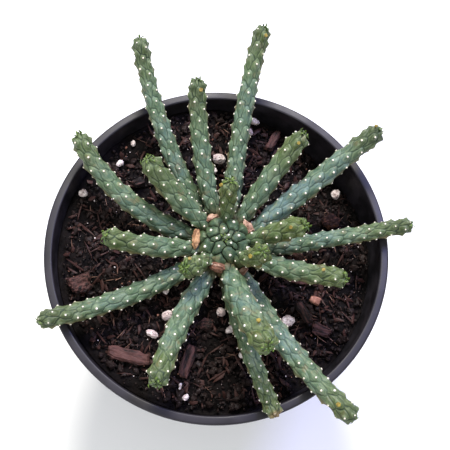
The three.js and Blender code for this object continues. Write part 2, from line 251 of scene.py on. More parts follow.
def closed_skin(
    name: str,
    first: Sequence[float],
    rings: Array,
    last: Sequence[float],
    attributes: dict[str, Array] | None = None,
    smooth: bool = True,
) -> SceneObject:
    """Makes a closed skin of rings between two poles, facing out.

    Args:
        name: The name of the object.
        first: The pole before the first ring.
        rings: The points of each ring, ring by ring.
        last: The pole after the last ring.
        attributes: Values kept on the vertices, poles included.
        smooth: Whether the faces are shaded smooth.

    Returns:
        The new object.
    """
    count, sides = rings.shape[:2]
    end = 1 + count * sides
    index = np.arange(1, end).reshape(count, sides)
    beside = np.roll(index, -1, axis=1)
    faces: list[tuple[int, ...]] = [(0, a, b) for a, b in zip(index[0].tolist(), beside[0].tolist())]
    quads = np.stack([index[:-1], index[1:], beside[1:], beside[:-1]], axis=2)
    faces += [tuple(quad) for quad in quads.reshape(-1, 4).tolist()]
    faces += [(end, b, a) for a, b in zip(index[-1].tolist(), beside[-1].tolist())]
    made = make_object(name, np.vstack([first, rings.reshape(-1, 3), last]), faces, attributes, smooth)
    work = bmesh.new()
    work.from_mesh(made.data)
    bmesh.ops.recalc_face_normals(work, faces=work.faces)
    work.to_mesh(made.data)
    work.free()
    made.data.update()
    return made


def node_points(node: SceneObject) -> tuple[Array, Array]:
    """Reads a CAD node as merged millimetre points and triangles.

    Args:
        node: The CAD node, whose mesh is loose triangles.

    Returns:
        The points and, for each triangle, the indices of its corners.
    """
    mesh = node.data
    raw = np.zeros(len(mesh.vertices) * 3)
    mesh.vertices.foreach_get("co", raw)
    corners = np.zeros(len(mesh.loops), np.int64)
    mesh.loops.foreach_get("vertex_index", corners)
    points, owner = np.unique(np.round(raw.reshape(-1, 3) / MM, 3), axis=0, return_inverse=True)
    return points, owner.ravel()[corners].reshape(-1, 3)


# ------------------------------------------------------------ materials
class Graph:
    """A small builder for the node tree of one material."""

    def __init__(self, name: str) -> None:
        """Starts a material with one Principled shader.

        Args:
            name: The name of the material.
        """
        self.material = bpy.data.materials.new(name)
        self.material.use_nodes = True
        self.tree = self.material.node_tree
        self.shader = self.tree.nodes["Principled BSDF"]
        self._place = self.tree.nodes.new("ShaderNodeTexCoord").outputs["Object"]

    def link(self, value: object, socket: Socket) -> None:
        """Feeds a socket from another socket or with a constant.

        Args:
            value: An output socket, a number or a colour.
            socket: The input socket.
        """
        if isinstance(value, Socket):
            self.tree.links.new(value, socket)
        elif isinstance(value, (tuple, list)) and len(value) == 3 and socket.type == "RGBA":
            socket.default_value = (*value, 1.0)
        else:
            socket.default_value = value

    def set(self, **values: float) -> None:
        """Sets constants on the Principled shader.

        Args:
            **values: Socket names with underscores for spaces, and their values.
        """
        for key, value in values.items():
            self.shader.inputs[key.replace("_", " ")].default_value = value

    def attribute(self, name: str, vector: bool = False) -> Socket:
        """Reads a value kept on the mesh.

        Args:
            name: The attribute.
            vector: Whether it is a vector rather than a number.

        Returns:
            The output socket.
        """
        node = self.tree.nodes.new("ShaderNodeAttribute")
        node.attribute_name = name
        return node.outputs["Vector" if vector else "Fac"]

    def noise(
        self, scale: float, detail: float = 3.0, rough: float = 0.55, at: Socket | None = None
    ) -> Socket:
        """Adds fractal noise.

        Args:
            scale: Lumps for each metre, or for each unit of at.
            detail: How many finer layers are added.
            rough: How strong the finer layers are.
            at: Where the noise is sampled; the object's own coordinates if left out.

        Returns:
            The noise, between 0 and 1.
        """
        node = self.tree.nodes.new("ShaderNodeTexNoise")
        self.link(at or self._place, node.inputs["Vector"])
        node.inputs["Scale"].default_value = scale
        node.inputs["Detail"].default_value = detail
        node.inputs["Roughness"].default_value = rough
        return node.outputs["Fac"]

    def cells(self, scale: float, at: Socket | None = None) -> Socket:
        """Adds a field of round cells.

        Args:
            scale: Cells for each metre, or for each unit of at.
            at: Where the cells are sampled; the object's own coordinates if left out.

        Returns:
            The distance to the nearest cell's middle.
        """
        node = self.tree.nodes.new("ShaderNodeTexVoronoi")
        self.link(at or self._place, node.inputs["Vector"])
        node.inputs["Scale"].default_value = scale
        return node.outputs["Distance"]

    def remap(
        self, value: Socket, low: float, high: float, to_low: float = 0.0, to_high: float = 1.0
    ) -> Socket:
        """Stretches a range of values onto another, clamped.

        Args:
            value: The values.
            low: The value that becomes to_low.
            high: The value that becomes to_high.
            to_low: Result at low.
            to_high: Result at high.

        Returns:
            The output socket.
        """
        node = self.tree.nodes.new("ShaderNodeMapRange")
        node.interpolation_type = "SMOOTHSTEP"
        ends = {"Value": value, "From Min": low, "From Max": high, "To Min": to_low, "To Max": to_high}
        for key, item in ends.items():
            self.link(item, node.inputs[key])
        return node.outputs["Result"]

    def maths(self, operation: str, first: object, second: object = 0.5) -> Socket:
        """Adds one sum.

        Args:
            operation: The name of a Math node's operation.
            first: A socket or a number.
            second: A socket or a number.

        Returns:
            The output socket.
        """
        node = self.tree.nodes.new("ShaderNodeMath")
        node.operation = operation
        self.link(first, node.inputs[0])
        self.link(second, node.inputs[1])
        return node.outputs["Value"]

    def mix(self, share: object, first: object, second: object) -> Socket:
        """Mixes two colours.

        Args:
            share: How much of the second colour there is.
            first: A socket or a colour.
            second: A socket or a colour.

        Returns:
            The mixed colour.
        """
        node = self.tree.nodes.new("ShaderNodeMix")
        node.data_type = "RGBA"
        self.link(share, node.inputs[0])
        self.link(first, node.inputs[6])
        self.link(second, node.inputs[7])
        return node.outputs[2]

    def bump(self, height: Socket, depth_mm: float, strength: float = 1.0) -> None:
        """Roughens the surface finely.

        Args:
            height: The height field, 0 to 1.
            depth_mm: The real depth that a height of 1 stands for.
            strength: How strongly it shows.
        """
        node = self.tree.nodes.new("ShaderNodeBump")
        node.inputs["Strength"].default_value = strength
        node.inputs["Distance"].default_value = depth_mm * MM
        self.link(height, node.inputs["Height"])
        self.link(node.outputs["Normal"], self.shader.inputs["Normal"])

    def colour(self, value: object) -> None:
        """Sets the base colour.

        Args:
            value: A socket or a colour.
        """
        self.link(value, self.shader.inputs["Base Color"])

    def roughness(self, value: object) -> None:
        """Sets the roughness.

        Args:
            value: A socket or a number.
        """
        self.link(value, self.shader.inputs["Roughness"])


@dataclass(frozen=True)
class SkinFinish:
    """Waxy succulent skin: blue-green where it is old, olive where it is young, with dark grooves; a painted
    highlight along the tubercles' raised rims, a painted shadow at each arm's root and a painted rim light along
    its flanks.
    """

    name: str = "arm_skin"
    bloom: Rgb = srgb(90, 116, 116)
    green: Rgb = srgb(74, 97, 62)
    olive: Rgb = srgb(80, 92, 34)
    tan: Rgb = srgb(134, 106, 74)
    groove: Rgb = srgb(26, 47, 33)
    # pale colour of ridges and streaks, also used for the painted highlight on the tubercles' rims
    ridge: Rgb = srgb(134, 146, 112)
    shade: Rgb = srgb(40, 54, 30)
    gloss: float = 0.52
    groove_least: float = 0.35

    def build(self) -> bpy.types.Material:
        """Makes the material.

        Returns:
            The material.
        """
        graph = Graph(self.name)
        along_skin = graph.attribute("grain", vector=True)
        mottle = graph.noise(260, 4)
        blotch = graph.noise(85, 2)
        fine = graph.noise(1500, 3)
        streak = graph.noise(0.62, 3, 0.5, at=along_skin)
        vein = graph.remap(graph.maths("ABSOLUTE", graph.maths("SUBTRACT", streak, 0.5)), 0.0, 0.03, 1.0, 0.0)
        bloomed = graph.maths("MULTIPLY", graph.attribute("bloom"), graph.remap(blotch, 0.36, 0.6, 0.3, 1.0))
        body = graph.mix(bloomed, self.green, self.bloom)
        young = graph.maths("MULTIPLY", graph.attribute("young"), graph.remap(mottle, 0.3, 0.62, 0.55, 1.0))
        body = graph.mix(young, body, self.olive)
        body = graph.mix(graph.remap(graph.noise(170, 3), 0.5, 0.68, 0.0, 0.34), body, self.ridge)
        body = graph.mix(graph.remap(graph.noise(230, 4), 0.56, 0.7, 0.0, 0.34), body, self.tan)
        body = graph.mix(graph.remap(streak, 0.54, 0.72, 0.0, 0.42), body, self.ridge)
        body = graph.mix(graph.maths("MULTIPLY", vein, 0.42), body, self.groove)
        shaded = graph.maths("MULTIPLY", graph.attribute("shade"), graph.remap(blotch, 0.35, 0.6, 0.45, 0.9))
        body = graph.mix(shaded, body, self.shade)
        # painted highlight: each tubercle's raised rim and a ring round each scar are mixed towards the pale
        # colour
        painted_ridge_highlight = graph.maths("MULTIPLY", graph.attribute("ridge"), graph.remap(fine, 0.3, 0.6, 0.5, 1.0))
        body = graph.mix(painted_ridge_highlight, body, self.ridge)
        # the dry value holds withered tips and roots, and also the painted rim light along the arms' flanks
        withered_and_rim_light = graph.maths("MULTIPLY", graph.attribute("dry"), graph.remap(mottle, 0.36, 0.6, 0.45, 1.0))
        body = graph.mix(withered_and_rim_light, body, self.tan)
        # the groove value also carries the painted shadow at each arm's root
        deep = graph.remap(mottle, 0.36, 0.6, self.groove_least, 1.0)
        groove = graph.maths("MULTIPLY", graph.attribute("groove"), deep)
        body = graph.mix(groove, body, self.groove)
        graph.colour(graph.mix(graph.remap(fine, 0.64, 0.8, 0.0, 0.25), body, self.ridge))
        graph.roughness(graph.remap(mottle, 0.3, 0.7, self.gloss - 0.08, self.gloss + 0.14))
        graph.set(Subsurface_Weight=0.05, Subsurface_Scale=0.002, Specular_IOR_Level=0.35)
        graph.shader.inputs["Subsurface Radius"].default_value = (0.5, 1.0, 0.3)
        graph.bump(graph.maths("ADD", fine, graph.maths("MULTIPLY", streak, 2.5)), 0.14, 0.6)
        return graph.material


@dataclass(frozen=True)
class MottledFinish:
    """A natural matt surface of two colours in patches, with specks of a third.

    Attributes:
        name: The name of the material.
        dark: The darker colour.
        light: The lighter colour.
        speck: The colour of the specks.
        patch_scale: Patches for each metre, or for each unit of grain.
        grain_scale: Specks for each metre, or for each unit of grain.
        rough: Middle of the roughness.
        depth_mm: Depth of the fine bumps.
        speck_share: How strongly the specks show.
        follows_grain: Whether it runs along the piece's grain.
        own_tone: How much one small piece differs from the next.
        shine: The specular level.
        speck_from: How high the noise is where specks begin.
    """

    name: str
    dark: Rgb
    light: Rgb
    speck: Rgb
    patch_scale: float
    grain_scale: float
    rough: float = 0.85
    depth_mm: float = 0.2
    speck_share: float = 0.3
    follows_grain: bool = False
    own_tone: float = 0.0
    shine: float = 0.5
    speck_from: float = 0.58

    def build(self) -> bpy.types.Material:
        """Makes the material.

        Returns:
            The material.
        """
        graph = Graph(self.name)
        at = graph.attribute("grain", vector=True) if self.follows_grain else None
        patch = graph.noise(self.patch_scale, 3, at=at)
        if self.own_tone:
            tone = graph.maths("MULTIPLY", graph.attribute("tone"), self.own_tone)
            patch = graph.maths("ADD", graph.maths("SUBTRACT", patch, self.own_tone / 2), tone)
        grain = graph.noise(self.grain_scale, 4, 0.65, at=at)
        body = graph.mix(graph.remap(patch, 0.36, 0.64), self.dark, self.light)
        specked = graph.remap(grain, self.speck_from, self.speck_from + 0.14, 0.0, self.speck_share)
        graph.colour(graph.mix(specked, body, self.speck))
        graph.roughness(graph.remap(grain, 0.3, 0.7, self.rough - 0.1, min(1.0, self.rough + 0.1)))
        graph.set(Specular_IOR_Level=self.shine)
        graph.bump(grain, self.depth_mm, 0.7)
        return graph.material


@dataclass(frozen=True)
class PotFinish:
    """Black nursery-pot plastic: a soft sheen, a fine matt texture, dust, dried splashes and a painted
    grey-violet sheen on the top of the lip.
    """

    name: str = "pot_plastic"
    body: Rgb = srgb(17, 16, 19)
    # grey-violet for the dust and for the painted sheen on the top of the lip
    dust_and_sheen: Rgb = srgb(42, 37, 47)
    soiled: Rgb = srgb(46, 42, 48)
    gloss: float = 0.44

    def build(self) -> bpy.types.Material:
        """Makes the material.

        Returns:
            The material.
        """
        graph = Graph(self.name)
        cloud = graph.noise(60, 4)
        fine = graph.noise(1400, 4, 0.7)
        dust = graph.maths("MULTIPLY", graph.remap(fine, 0.52, 0.72), graph.remap(cloud, 0.4, 0.65))
        body = graph.mix(graph.maths("MULTIPLY", dust, 0.5), self.body, self.dust_and_sheen)
        # painted sheen: the top of the lip is mixed in patches towards the grey-violet
        lip = graph.maths("MULTIPLY", graph.attribute("lip"), graph.remap(cloud, 0.3, 0.7, 0.25, 0.6))
        body = graph.mix(lip, body, self.dust_and_sheen)
        splashes = graph.remap(graph.noise(150, 5, 0.7), 0.38, 0.64)
        soiled = graph.maths("MULTIPLY", graph.attribute("inside"), splashes)
        graph.colour(graph.mix(graph.maths("MULTIPLY", soiled, 0.8), body, self.soiled))
        graph.roughness(graph.remap(cloud, 0.3, 0.7, self.gloss - 0.06, self.gloss + 0.14))
        graph.set(Specular_IOR_Level=0.4)
        graph.bump(fine, 0.06, 0.35)
        return graph.material


HEAD_FINISH = SkinFinish(
    name="head_skin",
    bloom=srgb(68, 91, 74),
    green=srgb(50, 72, 48),
    olive=srgb(102, 106, 50),
    groove=srgb(8, 16, 9),
    # pale colour of ridges, also used for the painted highlight on the head's tubercle rims
    ridge=srgb(124, 136, 98),
    groove_least=0.8,
)
SCAR_FINISH = MottledFinish(
    name="leaf_scar",
    dark=srgb(228, 218, 198),
    light=srgb(254, 254, 252),
    speck=srgb(196, 172, 142),
    patch_scale=900,
    grain_scale=2600,
    rough=0.5,
    depth_mm=0.05,
    speck_share=0.2,
    own_tone=0.3,
)
LEAF_FINISH = MottledFinish(
    "crown_leaf", srgb(54, 80, 30), srgb(98, 120, 46), srgb(150, 148, 78), 700, 2400, 0.45, 0.05
)
FLOWER_FINISH = MottledFinish(
    "flower", srgb(112, 94, 28), srgb(152, 134, 50), srgb(100, 98, 46), 900, 2600, 0.55, 0.05
)
STUB_FINISH = MottledFinish(
    "dry_stalk", srgb(112, 74, 54), srgb(190, 156, 134), srgb(66, 42, 31), 0.8, 2.6, 0.8, 0.35, 0.9, True, 0.3
)
SOIL_FINISH = MottledFinish(
    "potting_mix", srgb(5, 3, 3), srgb(16, 11, 10), srgb(52, 40, 37), 190, 900, 0.75, 0.6, 0.3, shine=0.1
)
# the pale specks on the crumbs are painted glints
CRUMB_FINISH = MottledFinish(
    "crumbs", srgb(5, 3, 3), srgb(34, 25, 23), srgb(146, 128, 122), 260, 1300, 0.5, 0.25, 0.45, False, 0.5, 0.14
)
FLAKE_FINISH = MottledFinish(
    "bark_flakes", srgb(7, 4, 4), srgb(58, 37, 33), srgb(132, 94, 82), 240, 1200, 0.48, 0.3, 0.4, False, 0.7, 0.2
)
FIBRE_FINISH = MottledFinish(
    "fibres", srgb(34, 23, 20), srgb(132, 98, 82), srgb(180, 148, 128), 260, 1100, 0.7, 0.1, 0.4, own_tone=0.6
)
BARK_FINISH = MottledFinish(
    "bark", srgb(20, 13, 12), srgb(86, 56, 52), srgb(128, 96, 90), 0.8, 3.2, 0.6, 0.5, 0.55, True, 0.35, 0.25
)
PERLITE_FINISH = MottledFinish(
    name="perlite",
    dark=srgb(196, 176, 172),
    light=srgb(240, 228, 224),
    speck=srgb(78, 52, 44),
    patch_scale=420,
    grain_scale=1300,
    depth_mm=0.7,
    speck_share=1.0,
    own_tone=0.2,
    speck_from=0.55,
)
PEBBLE_FINISH = MottledFinish(
    "pebble", srgb(124, 80, 64), srgb(178, 126, 108), srgb(88, 54, 46), 260, 1300, 0.75, 0.3, 0.5
)
HUSK_FINISH = MottledFinish(
    "husk", srgb(116, 78, 50), srgb(192, 150, 110), srgb(62, 38, 25), 0.7, 2.4, 0.8, 0.35, 0.9, True, 0.2
)
NUGGET_FINISH = MottledFinish(
    "nugget", srgb(44, 26, 20), srgb(122, 78, 58), srgb(160, 116, 92), 0.7, 2.8, 0.7, 0.4, 0.5, True, 0.3, 0.25
)


class Look(Enum):
    """The finishes, each with the record's material slot it belongs to."""

    ARM = ("arm_skin", SkinFinish())
    HEAD = ("head_skin", HEAD_FINISH)
    SCAR = ("arm_skin", SCAR_FINISH)
    LEAF = ("arm_skin", LEAF_FINISH)
    FLOWER = ("arm_skin", FLOWER_FINISH)
    STUB = ("dry_stalk", STUB_FINISH)
    SOIL = ("potting_mix", SOIL_FINISH)
    CRUMB = ("potting_mix", CRUMB_FINISH)
    FLAKE = ("bark", FLAKE_FINISH)
    FIBRE = ("bark", FIBRE_FINISH)
    BARK = ("bark", BARK_FINISH)
    PERLITE = ("perlite", PERLITE_FINISH)
    PEBBLE = ("bark", PEBBLE_FINISH)
    HUSK = ("dry_stalk", HUSK_FINISH)
    NUGGET = ("bark", NUGGET_FINISH)
    POT = ("pot_plastic", PotFinish())

    @cached_property
    def material(self) -> bpy.types.Material:
        """The finish's material, made when it is first asked for."""
        return self.value[1].build()

    def dress(self, piece: SceneObject, *nodes: str) -> None:
        """Gives a piece this finish and ties it to the frame.

        Args:
            piece: The finished piece.
            *nodes: The CAD nodes that it stands for.
        """
        piece.data.materials.clear()
        piece.data.materials.append(self.material)
        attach(piece, ROOT)
        if nodes:
            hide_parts(*nodes)
        LOG.info("%s: %d faces, %s", piece.name, len(piece.data.polygons), self.name.lower())


# ------------------------------------------------------------ geometry nodes
class NodeRecipe:
    """A geometry node tree with named inputs, run once on an object and then turned into a plain mesh."""

    def __init__(self, name: str) -> None:
        """Starts an empty tree.

        Args:
            name: The name of the tree.
        """
        self.tree = bpy.data.node_groups.new(name, "GeometryNodeTree")
        self.sockets: dict[str, str] = {}
        self._add_socket("Geometry", "NodeSocketGeometry", "INPUT")
        self._add_socket("Geometry", "NodeSocketGeometry", "OUTPUT")
        self.start = self.tree.nodes.new("NodeGroupInput")
        self.end = self.tree.nodes.new("NodeGroupOutput")

    def _add_socket(self, name: str, kind: str, way: str) -> str:
        """Adds a socket to the tree and gives its identifier.

        Args:
            name: What it is called.
            kind: Its type.
            way: INPUT or OUTPUT.

        Returns:
            Its identifier.
        """
        return self.tree.interface.new_socket(name=name, in_out=way, socket_type=kind).identifier

    def add_inputs(self, **kinds: str) -> list[Socket]:
        """Adds named inputs.

        Args:
            **kinds: Float, Int, Collection or Material for each name, with underscores for spaces.

        Returns:
            The sockets that give their values inside the tree, in the same order.
        """
        names = [key.replace("_", " ") for key in kinds]
        for name, kind in zip(names, kinds.values()):
            self.sockets[name] = self._add_socket(name, f"NodeSocket{kind}", "INPUT")
        return [self.start.outputs[name] for name in names]

    def add(self, kind: str, inputs: dict[int | str, object] | None = None, **settings: object) -> bpy.types.Node:
        """Adds a node.

        Args:
            kind: The node's type, without its GeometryNode prefix where it has one.
            inputs: Sockets or constants for its inputs, by name or by number.
            **settings: Properties of the node.

        Returns:
            The node.
        """
        prefix = "" if kind.startswith(("ShaderNode", "FunctionNode")) else "GeometryNode"
        node = self.tree.nodes.new(prefix + kind)
        for key, value in settings.items():
            setattr(node, key, value)
        for key, value in (inputs or {}).items():
            if isinstance(value, Socket):
                self.tree.links.new(value, node.inputs[key])
            else:
                node.inputs[key].default_value = value
        return node

    def maths(self, operation: str, first: object, second: object) -> Socket:
        """Adds one sum.

        Args:
            operation: The name of a Math node's operation.
            first: A socket or a number.
            second: A socket or a number.

        Returns:
            The result.
        """
        return self.add("ShaderNodeMath", {0: first, 1: second}, operation=operation).outputs[0]

    def draw(self, low: object, high: object, seed: Socket, vector: bool = False) -> Socket:
        """Draws a seeded random value for each point or instance.

        Args:
            low: The lowest value.
            high: The highest value.
            seed: The seed.
            vector: Whether a vector is drawn rather than a number.

        Returns:
            The drawn value.
        """
        kind, first, out = ("FLOAT_VECTOR", 0, 0) if vector else ("FLOAT", 2, 1)
        inputs = {first: low, first + 1: high, "Seed": seed}
        return self.add("FunctionNodeRandomValue", inputs, data_type=kind).outputs[out]

    def place(self, points: object, shapes: object, turn: object, scale: object) -> Socket:
        """Puts one of a collection's shapes on each point.

        Args:
            points: The points.
            shapes: The collection.
            turn: The rotation of each.
            scale: The scale of each.

        Returns:
            The instances.
        """
        parts = {"Collection": shapes, "Separate Children": True, "Reset Children": True}
        inputs = {
            "Points": points,
            "Instance": self.add("CollectionInfo", parts).outputs[0],
            "Pick Instance": True,
            "Rotation": turn,
            "Scale": scale,
        }
        return self.add("InstanceOnPoints", inputs).outputs[0]

    def finish(self, geometry: Socket, material: Socket) -> None:
        """Realizes what the tree made, gives it a material and ends the tree.

        Args:
            geometry: What the tree made.
            material: The material input.
        """
        real = self.add("RealizeInstances", {"Geometry": geometry})
        dressed = self.add("SetMaterial", {"Geometry": real.outputs["Geometry"], "Material": material})
        self.tree.links.new(dressed.outputs["Geometry"], self.end.inputs["Geometry"])

    def run(self, host: SceneObject, name: str, **values: object) -> SceneObject:
        """Runs the tree on an object and keeps the result as a plain mesh.

        Args:
            host: The object whose mesh the tree starts from; it is removed afterwards.
            name: The name of the result.
            **values: A value for each named input, with underscores for spaces.

        Returns:
            The finished object.
        """
        modifier = host.modifiers.new(self.tree.name, "NODES")
        modifier.node_group = self.tree
        for key, value in values.items():
            modifier[self.sockets[key.replace("_", " ")]] = value
        mesh = apply_modifiers(host)
        mesh.name = name
        return link_mesh(name, mesh)


class ScatterKit:
    """The two node trees that repeat small shapes: on marked points, and over a surface."""

    def __init__(self) -> None:
        """Builds both trees."""
        self.marked = self._build_marked()
        self.spread = self._build_spread()

    @staticmethod
    def _build_marked() -> NodeRecipe:
        """Builds the tree that puts a shape on each mark, turned and sized as the mark says.

        Returns:
            The tree.
        """
        recipe = NodeRecipe("repeat_on_marks")
        shapes, size, unevenness, seed, material = recipe.add_inputs(
            Shapes="Collection", Size="Float", Unevenness="Float", Seed="Int", Material="Material"
        )
        facing, heading, own_size = (
            recipe.add("InputNamedAttribute", {"Name": name}, data_type=kind).outputs[0]
            for name, kind in (("facing", "FLOAT_VECTOR"), ("heading", "FLOAT_VECTOR"), ("own_size", "FLOAT"))
        )
        up = recipe.add("FunctionNodeAxesToRotation", {0: facing, 1: heading})
        up.primary_axis, up.secondary_axis = "Z", "X"
        low, high = recipe.maths("SUBTRACT", 1.0, unevenness), recipe.maths("ADD", 1.0, unevenness)
        scale = recipe.maths("MULTIPLY", own_size, recipe.draw(low, high, seed))
        scale = recipe.maths("MULTIPLY", scale, size)
        placed = recipe.place(recipe.start.outputs["Geometry"], shapes, up.outputs[0], scale)
        recipe.finish(placed, material)
        return recipe

    @staticmethod
    def _build_spread() -> NodeRecipe:
        """Builds the tree that strews shapes over a surface, more of them small than large.

        Returns:
            The tree.
        """
        recipe = NodeRecipe("spread_over_surface")
        shapes, density, smallest, largest, skew, tilt, seed, material = recipe.add_inputs(
            Shapes="Collection",
            Density="Float",
            Smallest="Float",
            Largest="Float",
            Skew="Float",
            Tilt="Float",
            Seed="Int",
            Material="Material",
        )
        ground = {"Mesh": recipe.start.outputs["Geometry"], "Density": density, "Seed": seed}
        points = recipe.add("DistributePointsOnFaces", ground).outputs["Points"]
        skewed = recipe.maths("POWER", recipe.draw(0.0, 1.0, seed), skew)
        size = recipe.add("ShaderNodeMapRange", {"Value": skewed, "To Min": smallest, "To Max": largest})
        negative = recipe.maths("MULTIPLY", tilt, -1.0)
        low = recipe.add("ShaderNodeCombineXYZ", {0: negative, 1: negative, 2: 0.0}).outputs[0]
        high = recipe.add("ShaderNodeCombineXYZ", {0: tilt, 1: tilt, 2: math.tau}).outputs[0]
        turn = recipe.draw(low, high, seed, vector=True)
        placed = recipe.place(points, shapes, turn, size.outputs["Result"])
        kept = {"Geometry": placed, "Name": "tone", "Value": recipe.draw(0.0, 1.0, seed)}
        toned = recipe.add("StoreNamedAttribute", kept, data_type="FLOAT", domain="INSTANCE")
        recipe.finish(toned.outputs["Geometry"], material)
        return recipe


def shape_box(name: str, shapes: Iterable[SceneObject]) -> bpy.types.Collection:
    """Puts sample shapes into a collection of their own, out of the scene.

    Args:
        name: The name of the collection.
        shapes: The samples, already made.

    Returns:
        The collection.
    """
    box = bpy.data.collections.new(name)
    for shape in shapes:
        bpy.context.scene.collection.objects.unlink(shape)
        box.objects.link(shape)
    return box


# ------------------------------------------------------------ tubercled skin
@dataclass(frozen=True)
class SkinValues:
    """What the tubercle field gives at each point of a skin."""

    height: Array
    groove: Array
    # painted highlight along each tubercle's raised rim and round its scar
    ridge: Array


@dataclass(frozen=True)
class TubercleField:
    """Bumps in a golden-angle spiral over a surface of revolution, each with a leaf scar at its top.

    Attributes:
        along: Distance of each scar from the growing point, measured over the skin.
        around: Bearing of each scar.
        size: Size of each bump, where 1 is full-grown.
        proximal: How far a bump runs back from its scar, compared with sideways.
        distal: How far it runs on past its scar, compared with sideways.
        swell: Height of the bump under the scar.
        pillow: Height of the body of the bump.
        groove_depth: Depth of the grooves between bumps.
        groove_width: Width of the grooves.
        wander: How far the grooves stray from their even course.
    """

    along: Array
    around: Array
    size: Array
    proximal: float = 2.5
    distal: float = 0.85
    swell: float = 0.8
    pillow: float = 0.34
    groove_depth: float = 0.24
    groove_width: float = 0.33
    wander: float = 0.55

    def evaluate(self, along: Array, around: Array, radius: Array) -> SkinValues:
        """Works out the skin over a grid of rings and sides.

        Args:
            along: Distance of each ring from the growing point.
            around: Bearing of each side.
            radius: Radius of each ring.

        Returns:
            The height, the grooves and the painted highlight on the tubercles' rims and round their scars, each
            with one row for each ring.
        """
        shape = (len(along), len(around))
        nearest = np.full(shape, 99.0)
        second = np.full(shape, 99.0)
        size = np.ones(shape)
        swell = np.zeros(shape)
        reach = 5.6 * self.proximal
        astray = self._stray(along, around, radius)
        for a, bearing, grown in zip(self.along, self.around, self.size):
            rows = np.where(np.abs(along - a) < reach * grown + 0.5)[0]
            if not len(rows):
                continue
            back = (along[rows] - a)[:, None]
            side = radius[rows][:, None] * ((around - bearing + np.pi) % math.tau - np.pi)[None, :]
            stretch = np.where(back > 0, self.proximal, self.distal)
            away = np.hypot((back + astray[0][rows]) / stretch, side + astray[1][rows]) / grown
            old, runner = nearest[rows], second[rows]
            closer = away < old
            second[rows] = np.where(closer, old, np.minimum(runner, away))
            nearest[rows] = np.where(closer, away, old)
            size[rows] = np.where(closer, grown, size[rows])
            flank = np.where(back > 0, 2.1, 0.95)
            peak = np.exp(-((back / flank) ** 2 + (side / 1.2) ** 2) / max(grown, 0.66) ** 2) * grown
            swell[rows] = np.maximum(swell[rows], peak)
        edge = (second - nearest) * size
        groove = np.exp(-((edge / self.groove_width) ** 2))
        pillow = (1.0 - np.exp(-edge / 1.1)) * size
        height = self.pillow * pillow - self.groove_depth * groove * size**0.5 + self.swell * swell
        # painted highlight: a ring round each scar and a band along each tubercle's raised rim
        halo = np.exp(-(((nearest - 0.75) / 0.3) ** 2)) * 0.5
        ridge = np.exp(-(((edge - 0.8) / 0.35) ** 2)) * 0.3 + halo
        return SkinValues(height, groove, np.clip(ridge, 0, 1))

    def _stray(self, along: Array, around: Array, radius: Array) -> tuple[Array, Array]:
        """Works out how far the grooves stray, along the skin and across it.

        Args:
            along: Distance of each ring from the growing point.
            around: Bearing of each side.
            radius: Radius of each ring.

        Returns:
            The two offsets, each with one row for each ring.
        """
        places = skin_grain(along, around, radius).reshape(-1, 3)
        shape = (len(along), len(around))
        seed = float(self.around[0])
        back = fractal(places, 0.24, 2, seed + 4.0).reshape(shape)
        side = fractal(places, 0.30, 2, seed + 9.0).reshape(shape)
        return 2.2 * self.wander * back, self.wander * side


def skin_grain(along: Array, around: Array, radius: Array) -> Array:
    """Gives places for a texture that runs along a skin and has no seam.

    Args:
        along: Distance of each ring along the skin, already squeezed by how long the grain is.
        around: Bearing of each side.
        radius: Radius of each ring.

    Returns:
        A vector for each ring and side.
    """
    shape = (len(along), len(around))
    across = radius[:, None] * np.cos(around)[None], radius[:, None] * np.sin(around)[None]
    return np.stack([np.broadcast_to(along[:, None], shape), *across], axis=2)


def with_poles(values: dict[str, Array]) -> dict[str, Array]:
    """Turns values on rings and sides into one list for each, with the two poles at its ends.

    Args:
        values: Numbers or vectors for each ring and side, by name.

    Returns:
        The same values, one row for each vertex.
    """
    flat = {}
    for key, value in values.items():
        rows = value.reshape(-1, 3) if value.ndim == 3 else value.ravel()
        flat[key] = np.concatenate([[value[0].mean(axis=0)], rows, [value[-1].mean(axis=0)]])
    return flat


# ------------------------------------------------------------ the arms
@dataclass(frozen=True)
class ArmSpec:
    """How one arm differs from its neighbours.

    Attributes:
        bloom: How blue-green its skin is.
        young: How olive it is near the tip.
        leaves: How many leaves its crown still has.
        flowers: How many flowers are open near its tip.
        dry: How withered its tip is.
        shade: How dark its tip is.
    """

    bloom: float = 0.55
    young: float = 0.5
    leaves: int = 9
    flowers: int = 0
    dry: float = 0.0
    shade: float = 0.2


ARM_SPECS = (
    ArmSpec(0.1, 0.9, 7, 1),
    ArmSpec(0.15, 0.95, 8, 1),
    ArmSpec(0.3, 0.7, 9, 1),
    ArmSpec(0.05, 1.0, 8, 1, shade=0.1),
    ArmSpec(0.3, 0.7, 8, shade=0.3),
    ArmSpec(0.6, 0.85, 9, 1, shade=0.3),
    ArmSpec(0.3, 0.75, 8, 1, shade=0.3),
    ArmSpec(0.3, 0.7, 8, shade=0.3),
    ArmSpec(0.35, 0.8, 8, 1, shade=0.4),
    ArmSpec(0.35, 0.6, 6, 1, shade=0.7),
    ArmSpec(0.6, 0.7, 8, shade=0.5),
    ArmSpec(1.0, 0.7, 5, 1, shade=0.9),
    ArmSpec(0.45, 0.6, 7, shade=0.4),
    ArmSpec(0.6, 0.8, 3, 1, shade=0.6),
    ArmSpec(0.4, 0.8, 4, 1, shade=0.8),
    ArmSpec(0.35, 0.8, 3, shade=0.8),
    ArmSpec(0.6, 0.9, 3, shade=0.8),
    ArmSpec(0.5, 0.7, 4, shade=0.7),
    ArmSpec(0.2, 0.8, 0, 0, 0.8, 0.3),
)


@dataclass(frozen=True)
class Marks:
    """Places on the skin that small shapes are repeated at."""

    places: Array
    facing: Array
    heading: Array
    size: Array


